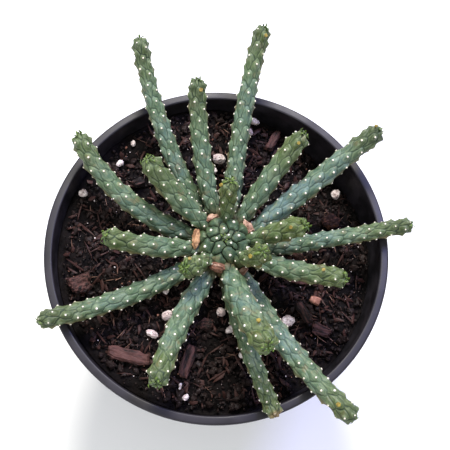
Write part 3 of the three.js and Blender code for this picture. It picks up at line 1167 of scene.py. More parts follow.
class ArmPath:
    """The centreline and the girth of an arm, read back from its CAD node.

    Attributes:
        BURIED: How far the two last knots lie inside the head.
        TAPER: Share of the girth that is left at each of them.
    """

    BURIED = (3.0, 6.0)
    TAPER = (0.95, 0.85)

    def __init__(self, node: SceneObject, axis: Array, sides: int = 10, cap_rings: int = 3) -> None:
        """Walks the node ring by ring from its tip to the head.

        Args:
            node: The CAD node of the arm.
            axis: x and y of the head's axis.
            sides: How many vertices each of its rings has.
            cap_rings: How many rings round off its end.
        """
        points, triangles = node_points(node)
        neighbours: list[set[int]] = [set() for _ in points]
        for a, b, c in triangles.tolist():
            neighbours[a] |= {b, c}
            neighbours[b] |= {a, c}
            neighbours[c] |= {a, b}
        poles = [i for i, near in enumerate(neighbours) if len(near) == sides]
        tip = max(poles, key=lambda i: float(np.linalg.norm(points[i, :2] - axis)) + points[i, 2] * 0.5)
        layers = self._layers(tip, neighbours)
        rings = [points[layer] for layer in layers[1:]]
        whole = next((i for i, ring in enumerate(rings) if len(ring) != sides), len(rings))
        stem = rings[cap_rings:whole]
        self.tip = points[tip]
        centres = np.array([ring.mean(axis=0) for ring in stem])
        girths = np.array([np.linalg.norm(ring - ring.mean(axis=0), axis=1).mean() for ring in stem])
        inwards = unit(centres[-1] - centres[-2])
        buried = np.array([centres[-1] + inwards * step for step in self.BURIED])
        self.knots = np.vstack([self.tip, centres, buried])
        self.girths = np.concatenate([[girths[0]], girths, [girths[-1] * share for share in self.TAPER]])
        steps = np.linalg.norm(np.diff(self.knots, axis=0), axis=1)
        self.stations = np.concatenate([[0.0], np.cumsum(steps)])
        self.length = float(self.stations[-1])

    @staticmethod
    def _layers(start: int, neighbours: list[set[int]]) -> list[list[int]]:
        """Sorts the vertices by how many edges they are away from a start.

        Args:
            start: The vertex to start from.
            neighbours: The vertices next to each vertex.

        Returns:
            The vertices at each number of edges.
        """
        depth = {start: 0}
        queue = deque([start])
        while queue:
            here = queue.popleft()
            for other in sorted(neighbours[here]):
                if other not in depth:
                    depth[other] = depth[here] + 1
                    queue.append(other)
        layers: list[list[int]] = [[] for _ in range(max(depth.values()) + 1)]
        for index, level in depth.items():
            layers[level].append(index)
        return layers

    def sample(self, distance: Array) -> tuple[Array, Array]:
        """Gives smooth places and girths.

        Args:
            distance: Distances from the tip, along the centreline.

        Returns:
            The places, and the radius at each.
        """
        slopes = np.gradient(self.knots, self.stations, axis=0)
        index = np.clip(np.searchsorted(self.stations, distance) - 1, 0, len(self.stations) - 2)
        span = (self.stations[index + 1] - self.stations[index])[:, None]
        t = (distance - self.stations[index])[:, None] / span
        near, far = self.knots[index], self.knots[index + 1]
        near_slope, far_slope = slopes[index] * span, slopes[index + 1] * span
        places = (
            (2 * t**3 - 3 * t**2 + 1) * near
            + (t**3 - 2 * t**2 + t) * near_slope
            + (3 * t**2 - 2 * t**3) * far
            + (t**3 - t**2) * far_slope
        )
        return places, np.interp(distance, self.stations, self.girths)


class Arm:
    """One arm: a bent, tubercled skin with leaf scars, a crown of small leaves and a few flowers.

    Attributes:
        SIDES: Points round each ring of the skin.
        RING_GAP: Distance between rings.
        CAP_RINGS: Rings that round off the tip.
        FULL_GIRTH: Radius of an arm whose bumps are full-grown.
        RISE: How far each bump comes after the one before it on such an arm.
        LATER_RISE: How much closer the bumps are on each older arm.
        SINK: How far the grooves' floor lies under the CAD skin.
        GRAIN: How long the skin's grain is along the arm.
        FLOWER_FROM: The first bump that a flower can stand on.
        FLOWER_TO: The last one.
    """

    SIDES = 104
    RING_GAP = 0.28
    CAP_RINGS = 15
    FULL_GIRTH = 4.75
    RISE = 1.46
    LATER_RISE = 0.011
    SINK = 0.45
    GRAIN = 3.5
    FLOWER_FROM = 5
    FLOWER_TO = 12

    def __init__(self, number: int, node: SceneObject, axis: Array, spec: ArmSpec) -> None:
        """Reads the arm's path.

        Args:
            number: The arm's number, youngest first.
            node: Its CAD node.
            axis: x and y of the head's axis.
            spec: How it looks.
        """
        self.number = number
        self.name = node.name
        self.spec = spec
        self.path = ArmPath(node, axis)
        self.girth = float(np.median(self.path.girths))
        self._rng = np.random.default_rng(100 + number)

    def _outline(self) -> tuple[Array, Array, Array]:
        """Lays the rings out from the growing point to the root.

        Returns:
            For each ring, its distance over the skin, its distance down the centreline, and its radius.
        """
        end = float(self.path.sample(np.array([self.girth * 1.2]))[1][0])
        turn = np.linspace(0.03, 1, self.CAP_RINGS) * np.pi / 2
        cap = end * 0.95
        depth = cap * (1 - np.cos(turn))
        radius = end * np.sin(turn)
        over = np.concatenate([[0.0], np.cumsum(np.hypot(np.diff(depth), np.diff(radius)))]) + radius[0]
        down = np.arange(cap + self.RING_GAP, self.path.length, self.RING_GAP)
        _, stem = self.path.sample(down)
        blend = smoothstep(down, cap, cap + 4.0)
        stem = end * (1 - blend) + stem * blend
        return (
            np.concatenate([over, over[-1] + down - cap]),
            np.concatenate([depth, down]),
            np.concatenate([radius, stem]),
        )

    def _field(self, length: float) -> TubercleField:
        """Sets the bumps out along the arm.

        Args:
            length: The length of the arm over its skin.

        Returns:
            The field of bumps.
        """
        scale = self.girth / self.FULL_GIRTH
        rise = self.RISE * scale * (1 - self.LATER_RISE * self.number)
        count = int(length / rise) + 14
        order = np.arange(count)
        opening = 1 - np.exp(-(order + 0.6) / 5.5)
        along = np.cumsum(rise * (0.2 + 0.8 * opening)) - 0.1
        size = scale * (0.5 + 0.56 * opening)
        jitter = self._rng.normal(0, 0.05, count)
        around = order * GOLDEN_ANGLE + self.number * 1.3 + jitter
        along = along + self._rng.normal(0, 0.12, count) * opening
        return TubercleField(along, around, size * self._rng.uniform(0.92, 1.08, count))

    def build(self) -> tuple[SceneObject, Marks, list[Marks], Marks]:
        """Makes the skin and marks where scars, leaves and flowers go.

        Returns:
            The skin, and the marks of the scars, of both sets of crown leaves and of the flowers.
        """
        over, down, radius = self._outline()
        around = bearings(self.SIDES)
        field = self._field(float(over[-1]))
        skin = field.evaluate(over, around, radius)
        centres, _ = self.path.sample(down)
        forward = unit(np.gradient(centres, down, axis=0))
        side = unit(np.cross(forward, [0.0, 0.0, 1.0]))
        above = unit(np.cross(side, forward))
        spoke = np.cos(around)[None, :, None] * side[:, None] + np.sin(around)[None, :, None] * above[:, None]
        fade = smoothstep(radius, 0.0, self.girth * 0.45)[:, None]
        knobby = 1 + 0.45 * (1 - smoothstep(over, 6.0, 18.0))[:, None]
        relief = skin.height * knobby - self.SINK
        lumps = fractal((centres[:, None] + spoke * self.girth).reshape(-1, 3), 0.16, 2, self.number)
        lumps = lumps.reshape(len(over), self.SIDES)
        reach = radius[:, None] + relief * (0.25 + 0.75 * fade) + 0.3 * lumps * fade
        end_on = (1 - smoothstep(down, 0.0, self.girth * 0.9))[:, None]
        push = 0.55 * relief * end_on
        points = centres[:, None] + spoke * reach[..., None] - forward[:, None] * push[..., None]
        tip = centres[0] - forward[0] * 0.15
        attributes = self._attributes(over, around, skin, points, centres)
        made = closed_skin(f"skin_{self.name}", tip, points, centres[-1], attributes)
        scars, leaves, flowers = self._marks(field, over, points, forward)
        rosette = self._rosette(tip, forward[0], side[0], above[0])
        return made, scars, [leaves, rosette], flowers

    def _rosette(self, tip: Array, forward: Array, side: Array, above: Array) -> Marks:
        """Sets the crown leaves out in a spiral round the growing point.

        Args:
            tip: The growing point.
            forward: The direction from the tip towards the root.
            side: A direction across the arm.
            above: The other direction across the arm.

        Returns:
            The marks of the leaves.
        """
        count = self.spec.leaves
        order = np.arange(count)
        share = (order + 0.5) / max(count, 1)
        turn = order * GOLDEN_ANGLE + self.number
        out = np.cos(turn)[:, None] * side + np.sin(turn)[:, None] * above
        tilt = np.radians(22 + 56 * share)[:, None]
        places = tip + out * (0.2 + 1.1 * share)[:, None] + forward * (0.15 + 0.4 * share)[:, None]
        facing = out * np.sin(tilt) - forward * np.cos(tilt)
        return Marks(places, facing, out, 0.62 + 0.4 * share)

    def _attributes(
        self, over: Array, around: Array, skin: SkinValues, points: Array, centres: Array
    ) -> dict[str, Array]:
        """Works out the values that the skin's material reads.

        Args:
            over: Distance of each ring over the skin.
            around: Bearing of each side.
            skin: The tubercle field's values.
            points: The skin's points.
            centres: The centre of each ring.

        Returns:
            The attributes by name, one value for each vertex.
        """
        spec = self.spec
        shape = skin.groove.shape
        from_tip = np.broadcast_to(over[:, None], shape)
        share = from_tip / over[-1]
        facing_up = (points - centres[:, None])[..., 2] / self.girth
        bloom = spec.bloom * smoothstep(from_tip, 4.0, 26.0) * (0.5 + 0.5 * smoothstep(facing_up, -0.3, 0.8))
        young = spec.young * (1 - smoothstep(from_tip, 7.0, 32.0))
        young = young + 0.6 * (1 - smoothstep(facing_up, -0.9, 0.25))
        young = young + 0.35 * smoothstep(share, 0.86, 1.0)
        root_dry = 0.7 * smoothstep(share, 0.9, 0.97)
        # painted rim light: a pale tan band along both flanks of the arm, kept off the tip; it shares the dry
        # value with the withered tip and root
        painted_rim_light = 0.5 * np.exp(-(((facing_up + 0.15) / 0.3) ** 2)) * smoothstep(from_tip, 4.0, 14.0)
        dry = np.maximum(spec.dry * (1 - smoothstep(from_tip, 1.5, 5.0)), np.maximum(root_dry, painted_rim_light))
        # painted shadow: the last few millimetres before the root, where the arm tucks under its neighbours and
        # the head, are darkened through the groove value
        painted_root_shadow = 1 - smoothstep(over[-1] - from_tip, 5.0, 8.5)
        groove = skin.groove * (1.05 - 0.25 * smoothstep(from_tip, 5.0, 25.0)) + 0.55 * painted_root_shadow
        values = {
            "bloom": bloom,
            "young": np.clip(young, 0, 1),
            "dry": dry,
            "shade": spec.shade * (1 - smoothstep(from_tip, 5.0, 26.0)),
            "groove": np.clip(groove, 0, 1),
            # painted highlight on the tubercles' rims and round their scars
            "ridge": skin.ridge,
            "grain": skin_grain(over / self.GRAIN, around, np.full(len(over), self.girth)),
        }
        return with_poles(values)

    def _marks(
        self, field: TubercleField, over: Array, points: Array, forward: Array
    ) -> tuple[Marks, Marks, Marks]:
        """Finds where the scars, the leaves and the flowers sit on the skin.

        Args:
            field: The bumps.
            over: Distance of each ring over the skin.
            points: The skin's points.
            forward: The direction of the centreline towards the root, at each ring.

        Returns:
            The marks of the scars, the leaves and the flowers.
        """
        row = np.clip(np.searchsorted(over, field.along), 1, len(over) - 2)
        column = np.round(field.around / (math.tau / self.SIDES)).astype(int) % self.SIDES
        here = points[row, column]
        beside = points[row, (column + 3) % self.SIDES] - points[row, (column - 3) % self.SIDES]
        along = points[np.minimum(row + 3, len(over) - 1), column] - points[np.maximum(row - 3, 0), column]
        normal = unit(np.cross(beside, along))
        outward = unit(here - points[row].mean(axis=1))
        normal = np.where((normal * outward).sum(axis=1, keepdims=True) < -0.2, -normal, normal)
        towards_tip = -forward[row]
        kept = ~(field.along > over[-1] - 3.0)
        order = np.arange(len(field.along))
        leafy = kept & (order >= 2) & (order < self.spec.leaves // 2 + 1)
        on_top = normal[:, 2]
        candidates = [k for k in order if self.FLOWER_FROM <= k <= self.FLOWER_TO and kept[k]]
        by_light = sorted(candidates, key=lambda k: -on_top[k] + 0.05 * self._rng.random())
        best = by_light[: 3 * self.spec.flowers : 3]
        flowering = np.zeros(len(order), bool)
        flowering[best] = True
        scarred = kept & ~leafy & ~flowering & (order >= 3)
        scar_size = np.clip(field.size, 0.45, 1.0) * (1 - 0.5 * self.spec.dry * (field.along < 6))
        leaf_size = np.full(len(order), 0.7)
        normal = np.where(leafy[:, None], unit(normal + 0.9 * towards_tip), normal)
        chosen = ((scarred, scar_size), (leafy, leaf_size), (flowering, np.ones(len(order))))
        return tuple(Marks(here[keep], normal[keep], towards_tip[keep], size[keep]) for keep, size in chosen)


# ------------------------------------------------------------ the head
class Head:
    """The squat head: a dome of large tubercles round the growing point, and its taproot.

    Attributes:
        SIDES: Points round each ring of the skin.
        RING_GAP: Distance between rings on the dome.
        ROOT_GAP: Distance between rings on the taproot.
        DOME: How far over the skin the dome's fine rings reach.
        BUMPS: How many tubercles there are.
        SCAR_RADII: Distance of each of the first scars from the growing point, over the skin.
        LATER_RADII: How far apart the later ones are.
        START: Bearing of the first scar.
        HEART_LEAVES: How many tiny leaves stand at the growing point.
    """

    SIDES = 220
    RING_GAP = 0.3
    ROOT_GAP = 2.5
    DOME = 34.0
    BUMPS = 46
    LATER_RADII = 0.62
    HEART_LEAVES = 8
    SCAR_RADII = (1.8, 3.7, 3.2, 4.3, 4.5, 5.9, 7.3, 7.6, 8.6, 9.5, 10.3)
    START = math.radians(44)

    def __init__(self, node: SceneObject) -> None:
        """Reads the head's outline from its CAD node.

        Args:
            node: The CAD node.
        """
        self.node = node
        points, _ = node_points(node)
        low, high = points.min(axis=0), points.max(axis=0)
        self.axis = (low[:2] + high[:2]) / 2
        radii = np.linalg.norm(points[:, :2] - self.axis, axis=1)
        heights = np.unique(np.round(points[:, 2], 1))[::-1]
        outline = [(radii[np.abs(points[:, 2] - z) < 0.15].max(), z) for z in heights]
        self.outline = np.array([(r, z) for r, z in outline if r > 0.3])
        self.top = float(points[:, 2].max())

    def _rings(self) -> tuple[Array, Array, Array]:
        """Lays the rings out from the growing point down to the root's tip.

        Returns:
            For each ring, its distance over the skin, its radius and its height.
        """
        outline = np.vstack([[0.0, self.top - 0.5], self.outline])
        steps = np.concatenate([[0.0], np.cumsum(np.linalg.norm(np.diff(outline, axis=0), axis=1))])
        fine = np.arange(0.25, self.DOME, self.RING_GAP)
        over = np.concatenate([fine, np.arange(self.DOME + 1.0, steps[-1] - 0.5, self.ROOT_GAP)])
        radius = np.interp(over, steps, outline[:, 0])
        height = np.interp(over, steps, outline[:, 1])
        for _ in range(6):
            radius[1:-1] = (radius[:-2] + 2 * radius[1:-1] + radius[2:]) / 4
            height[1:-1] = (height[:-2] + 2 * height[1:-1] + height[2:]) / 4
        return over, radius, height

    def _field(self) -> TubercleField:
        """Sets the head's bumps out round the growing point.

        Returns:
            The field of bumps.
        """
        order = np.arange(self.BUMPS)
        placed = len(self.SCAR_RADII)
        grown = self.SCAR_RADII[-1] + self.LATER_RADII * (order - placed + 1)
        along = np.where(order < placed, np.resize(self.SCAR_RADII, order.shape), grown)
        size = np.clip(0.34 + 0.075 * order, 0.34, 1.25)
        return TubercleField(
            along=along * 1.02,
            around=self.START + order * GOLDEN_ANGLE,
            size=size,
            proximal=3.2,
            distal=0.85,
            swell=0.3,
            pillow=1.5,
            groove_depth=0.95,
            groove_width=0.4,
        )

    def build(self) -> tuple[SceneObject, Marks, Marks]:
        """Makes the skin of the head.

        Returns:
            The skin, the marks of its scars, and the marks of the tiny leaves at the growing point.
        """
        over, radius, height = self._rings()
        around = bearings(self.SIDES)
        field = self._field()
        skin = field.evaluate(over, around, radius)
        slope = unit(np.stack([np.gradient(radius, over), np.gradient(height, over)], axis=1))
        normal_out, normal_up = -slope[:, 1], slope[:, 0]
        bury = 1 - smoothstep(over, 24, 32)
        rise = (skin.height - 1.1) * (smoothstep(over, 0.0, 2.0) * bury)[:, None]
        reach = radius[:, None] + rise * normal_out[:, None]
        flat = self.axis + reach[..., None] * spokes(around)[None]
        points = np.concatenate([flat, (height[:, None] + rise * normal_up[:, None])[..., None]], axis=2)
        share = np.broadcast_to(over[:, None], skin.groove.shape)
        values = {
            "bloom": 0.6 * smoothstep(share, 1, 6),
            "young": 0.5 * (1 - smoothstep(share, 0.3, 2.2)) + 0.4 * smoothstep(share, 9, 13),
            "dry": smoothstep(share, 15, 24),
            "shade": 0.5 * (1 - smoothstep(share, 0.5, 4)),
            "groove": np.clip(skin.groove * 1.7, 0, 1),
            # painted highlight on the tubercles' rims and round their scars, a little weaker
            "ridge": skin.ridge * 0.7,
            "grain": skin_grain(over / Arm.GRAIN, around, radius),
        }
        top, bottom = [*self.axis, height[0] - 0.2], [*self.axis, height[-1]]
        made = closed_skin("skin_caudex", top, points, bottom, with_poles(values))
        return (made, *self._marks(field, over, points))

    def _marks(self, field: TubercleField, over: Array, points: Array) -> tuple[Marks, Marks]:
        """Finds where the head's scars and its tiny leaves sit.

        Args:
            field: The bumps.
            over: Distance of each ring over the skin.
            points: The skin's points.

        Returns:
            The marks of the scars and of the leaves.
        """
        shown = np.arange(len(self.SCAR_RADII))
        row = np.searchsorted(over, field.along[shown])
        column = np.round(field.around[shown] / (math.tau / self.SIDES)).astype(int) % self.SIDES
        here = points[row, column]
        beside = points[row, (column + 4) % self.SIDES] - points[row, (column - 4) % self.SIDES]
        along = points[row + 3, column] - points[row - 3, column]
        normal = unit(np.cross(along, beside))
        scars = Marks(here, normal, unit(-along), np.linspace(0.95, 1.45, len(shown)))
        count = self.HEART_LEAVES
        turn = 0.7 + np.arange(count) * GOLDEN_ANGLE
        spread = 0.35 + 0.13 * np.arange(count)
        out = at_height(spokes(turn), 0.0)
        places = np.array([*self.axis, self.top - 0.9]) + out * spread[:, None]
        leaves = Marks(places, unit(out * 0.6 + [0, 0, 1.0]), out, np.linspace(0.3, 0.62, count))
        return scars, leaves


# ------------------------------------------------------------ stubs and loose pieces
@dataclass(frozen=True)
class Roughening:
    """How a loose piece differs from its plain CAD solid.

    Attributes:
        levels: How many times it is subdivided.
        rounded: Whether subdividing rounds it.
        lump: Height of its broad lumps.
        lump_scale: Lumps for each millimetre.
        grain: Height of its fine grain.
        grain_scale: Grains for each millimetre.
        stretch: How much longer the grain is along the piece than across it.
    """

    levels: int
    rounded: bool
    lump: float
    lump_scale: float
    grain: float
    grain_scale: float
    stretch: float = 1.0


PEBBLE_ROUGH = Roughening(3, True, 0.4, 0.3, 0.16, 1.0)
PERLITE_ROUGH = Roughening(3, False, 0.5, 0.42, 0.22, 1.7)
BARK_ROUGH = Roughening(4, False, 0.5, 0.25, 0.42, 0.9, 5.0)
NUGGET_ROUGH = Roughening(4, True, 0.9, 0.25, 0.6, 0.8, 1.6)
STUB_ROUGH = Roughening(3, True, 0.45, 0.4, 0.5, 1.1, 3.0)


class LoosePiece:
    """A grain, chip or withered stub: its CAD solid, refined and given a natural surface."""

    def __init__(self, node: SceneObject, rough: Roughening, look: Look) -> None:
        """Notes what to refine.

        Args:
            node: The CAD node.
            rough: How its surface is worn.
            look: Its finish.
        """
        self.node = node
        self.rough = rough
        self.look = look

    def build(self) -> SceneObject:
        """Makes the piece and ties it to its CAD node.

        Returns:
            The finished piece.
        """
        points, triangles = node_points(self.node)
        seed = make_object("seed", points, triangles)
        modifier = seed.modifiers.new("refine", "SUBSURF")
        modifier.subdivision_type = "CATMULL_CLARK" if self.rough.rounded else "SIMPLE"
        modifier.levels = modifier.render_levels = self.rough.levels
        mesh = apply_modifiers(seed)
        count = len(mesh.vertices)
        places, normals = np.zeros(count * 3), np.zeros(count * 3)
        mesh.vertices.foreach_get("co", places)
        mesh.vertices.foreach_get("normal", normals)
        places, normals = places.reshape(-1, 3) / MM, normals.reshape(-1, 3)
        middle = places.mean(axis=0)
        local = places - middle
        spread = np.cov(local[:, :2].T)
        along = np.linalg.eigh(spread)[1][:, -1]
        across = np.array([-along[1], along[0]])
        stretch = self.rough.stretch
        grain = np.stack([local[:, :2] @ along / stretch, local[:, :2] @ across, local[:, 2]], axis=1)
        seed_value = float(abs(middle[0] * 3.1 + middle[1] * 1.7) % 50)
        broad = fractal(local, self.rough.lump_scale, 2, seed_value)
        fine = fractal(grain, self.rough.grain_scale, 4, seed_value)
        places = places + normals * (broad * self.rough.lump + fine * self.rough.grain)[:, None]
        mesh.vertices.foreach_set("co", (places * MM).ravel())
        values = {"grain": grain + seed_value, "tone": np.full(count, (seed_value * 7.3) % 1.0)}
        made = link_mesh(f"natural_{self.node.name}", mesh, values, smooth=True)
        self.look.dress(made, self.node.name)
        return made


# ------------------------------------------------------------ soil
class Soil:
    """The gritty mix: a lumpy plug whose surface carries thousands of crumbs, flakes and fibres.

    Attributes:
        RINGS: Rings of the plug's surface.
        SIDES: Points round each ring.
        SOCKET: Radius round the head inside which the surface is bridged.
        DEEPEST: How far below its middle level the surface can lie.
        TAPER_HEIGHT: Height over which the plug widens to its full radius.
        SKIRT: Share of the depth at each ring of the plug's side.
        STEP: Spacing of the points that litter is spread from.
    """

    RINGS = 120
    SIDES = 300
    SOCKET = 14.0
    DEEPEST = 14.0
    TAPER_HEIGHT = 96.0
    SKIRT = (0.93, 0.6, 0.3, 0.0)
    STEP = 1.6

    def __init__(self, node: SceneObject, head_axis: Array) -> None:
        """Reads the plug.

        Args:
            node: The CAD node of the soil.
            head_axis: x and y of the head's axis.
        """
        self.node = node
        self.head_axis = head_axis
        self.points, self.triangles = node_points(node)
        self.tree = BVHTree.FromPolygons(self.points.tolist(), self.triangles.tolist())
        self.edge = float(np.linalg.norm(self.points[self.points[:, 2] > 80][:, :2], axis=1).max())
        self.level = self._ray(self.edge * 0.4, -self.edge * 0.5)

    def _ray(self, x: float, y: float) -> float:
        """Looks straight down on the CAD plug.

        Args:
            x: Place along X.
            y: Place along Y.

        Returns:
            The height, or nan where there is no plug.
        """
        hit = self.tree.ray_cast(Vector((x, y, 400.0)), Vector((0, 0, -1)))[0]
        return hit.z if hit else float("nan")

    def height(self, x: float, y: float) -> float:
        """Gives the height of the plug's surface, bridging the socket that the head sits in.

        Args:
            x: Place along X.
            y: Place along Y.

        Returns:
            The height.
        """
        dx, dy = x - self.head_axis[0], y - self.head_axis[1]
        away = math.hypot(dx, dy)
        if away < self.SOCKET:
            scale = self.SOCKET / max(away, 0.1)
            x, y = self.head_axis[0] + dx * scale, self.head_axis[1] + dy * scale
        z = self._ray(x, y)
        shrink = 1.0
        while math.isnan(z) or z < self.level - self.DEEPEST:
            shrink *= 0.99
            z = self._ray(x * shrink, y * shrink)
        return z

    def build(self) -> SceneObject:
        """Makes the lumpy plug.

        Returns:
            The plug.
        """
        low = float(self.points[:, 2].min())
        floor_radius = float(np.linalg.norm(self.points[self.points[:, 2] < low + 0.2][:, :2], axis=1).max())
        spoke = spokes(bearings(self.SIDES))
        radii = np.linspace(0.4, self.edge, self.RINGS)
        flats = [spoke * radius for radius in radii]
        top = np.array([at_height(flat, [self.height(x, y) for x, y in flat.tolist()]) for flat in flats])
        places = top.reshape(-1, 3) * [1, 1, 0.3]
        lumps = fractal(places, 0.12, 4, 3.0).reshape(top.shape[:2])
        crumbs = fractal(places, 0.75, 3, 8.0).reshape(top.shape[:2])
        calm = 1 - smoothstep(radii, self.edge - 2.5, self.edge)[:, None] * 0.7
        top[..., 2] += (1.5 * lumps + 0.75 * crumbs) * calm - 0.45
        limit = self._wall_limit(top[..., 2], low, floor_radius)
        reach = np.linalg.norm(top[..., :2], axis=2)
        top[..., :2] *= np.minimum(1.0, limit / reach)[..., None]
        depths = [low + (top[-1, :, 2] - low) * share for share in self.SKIRT]
        skirt = [at_height(spoke * self._wall_limit(z, low, floor_radius)[:, None], z) for z in depths]
        body = np.concatenate([top, np.array(skirt)])
        made = closed_skin("soil_plug", [0, 0, top[0, :, 2].mean()], body, [0, 0, low])
        Look.SOIL.dress(made, self.node.name)
        return made

    def _wall_limit(self, z: Array, low: float, floor_radius: float) -> Array:
        """Gives the radius at which the plug meets the pot.

        Args:
            z: The heights.
            low: Height of the plug's underside.
            floor_radius: Radius of the underside.

        Returns:
            The radius at each height.
        """
        foot = floor_radius + 1.5
        return np.minimum(foot + (z - low) * (self.edge - foot) / self.TAPER_HEIGHT, self.edge)

    def surface(self, name: str, inner: float, outer: float) -> SceneObject:
        """Makes a plain disc over the soil's surface for shapes to be spread on.

        Args:
            name: The name of the disc.
            inner: Inner radius, measured from the head's axis.
            outer: Outer radius, measured from the pot's axis.

        Returns:
            The disc.
        """
        lines = np.arange(-outer, outer + self.STEP, self.STEP)
        index: dict[tuple[int, int], int] = {}
        points: list[tuple[float, float, float]] = []
        for i, x in enumerate(lines):
            for j, y in enumerate(lines):
                near_head = math.hypot(x - self.head_axis[0], y - self.head_axis[1]) < inner
                if math.hypot(x, y) <= outer and not near_head:
                    index[i, j] = len(points)
                    bump = noise.fractal(Vector((x, y, 0)) * 0.12, 0.9, 2.0, 3)
                    points.append((x, y, self.height(x, y) + 0.5 + bump))
        faces = []
        for i, j in index:
            corners = [(i, j), (i + 1, j), (i + 1, j + 1), (i, j + 1)]
            if all(corner in index for corner in corners):
                faces.append([index[corner] for corner in corners])
        return make_object(name, np.array(points), faces)


@dataclass(frozen=True)
class Litter:
    """One kind of small loose matter on the soil.

    Attributes:
        name: The name of the piece that holds all of it.
        look: Its finish.
        samples: How many sample shapes there are.
        box: Length, width and thickness of a sample of size 1.
        corners: Corners of a sample's outline.
        density: Pieces for each square metre.
        smallest: Smallest size.
        largest: Largest size.
        skew: Higher values make large pieces rarer.
        tilt: How far pieces lean, in radians.
        margin: How far it keeps from the wall of the pot.
        seed: Where the random draws start.
    """

    name: str
    look: Look
    samples: int
    box: tuple[float, float, float]
    corners: int
    density: float
    smallest: float
    largest: float
    skew: float
    tilt: float
    margin: float
    seed: int

    def _sample(self, number: int) -> SceneObject:
        """Makes one uneven sample shape.

        Args:
            number: Which of the samples it is.

        Returns:
            The sample.
        """
        rng = np.random.default_rng(self.seed * 31 + number)
        strays = rng.uniform(-0.3, 0.3, self.corners)
        turns = np.sort(np.arange(self.corners) + strays) * math.tau / self.corners
        reach = rng.uniform(0.6, 1.15, self.corners)
        length, width, thick = np.array(self.box) / 2
        outline = np.stack([np.cos(turns) * reach * length, np.sin(turns) * reach * width], axis=1)
        bow = rng.uniform(-0.16, 0.16)
        rings = []
        for level, inset in ((-0.75, 0.62), (0.0, 1.0), (0.75, 0.66)):
            flat = outline * inset * rng.uniform(0.9, 1.1, (self.corners, 1))
            uneven = thick * (level + rng.uniform(-0.2, 0.2, self.corners))
            rings.append(at_height(flat, uneven + bow * flat[:, 0] ** 2 / max(length, 0.1)))
        low, high = [0, 0, -thick], [0, 0, thick * 1.05]
        return closed_skin(f"sample_{self.name}_{number}", low, np.array(rings), high, smooth=False)

    def build(self, soil: Soil, kit: ScatterKit) -> SceneObject:
        """Spreads the litter over the soil.

        Args:
            soil: The soil.
            kit: The node trees that spread it.

        Returns:
            The finished piece.
        """
        box = shape_box(f"samples_{self.name}", [self._sample(i) for i in range(self.samples)])
        made = kit.spread.run(
            soil.surface(f"ground_{self.name}", 9.0, soil.edge - self.margin),
            self.name,
            Shapes=box,
            Density=self.density,
            Smallest=self.smallest,
            Largest=self.largest,
            Skew=self.skew,
            Tilt=self.tilt,
            Seed=self.seed,
            Material=self.look.material,
        )
        self.look.dress(made)
        return made


LITTERS = (
    Litter("fine_crumbs", Look.CRUMB, 6, (1.0, 0.8, 0.6), 6, 300000, 0.6, 2.3, 2.2, 0.9, 0.8, 11),
    Litter("coarse_crumbs", Look.CRUMB, 6, (1.6, 1.1, 0.8), 7, 84000, 1.2, 3.4, 2.0, 0.8, 1.6, 12),
    Litter("bark_flakes", Look.FLAKE, 8, (3.2, 1.2, 0.5), 5, 85000, 0.5, 2.4, 2.2, 0.9, 2.4, 13),
    Litter("bark_slivers", Look.FLAKE, 7, (8.0, 0.8, 0.5), 5, 40000, 0.4, 1.9, 1.8, 0.55, 4.2, 14),
    Litter("pale_fibres", Look.FIBRE, 5, (6.0, 0.34, 0.24), 5, 26000, 0.4, 1.6, 1.6, 0.5, 3.4, 15),
    Litter("grit", Look.PEBBLE, 4, (1.0, 0.8, 0.7), 6, 6000, 0.5, 2.0, 2.2, 0.8, 3.0, 17),
    Litter("perlite_dust", Look.PERLITE, 4, (0.9, 0.8, 0.7), 6, 17000, 0.25, 1.2, 2.8, 0.6, 3.0, 16),
)


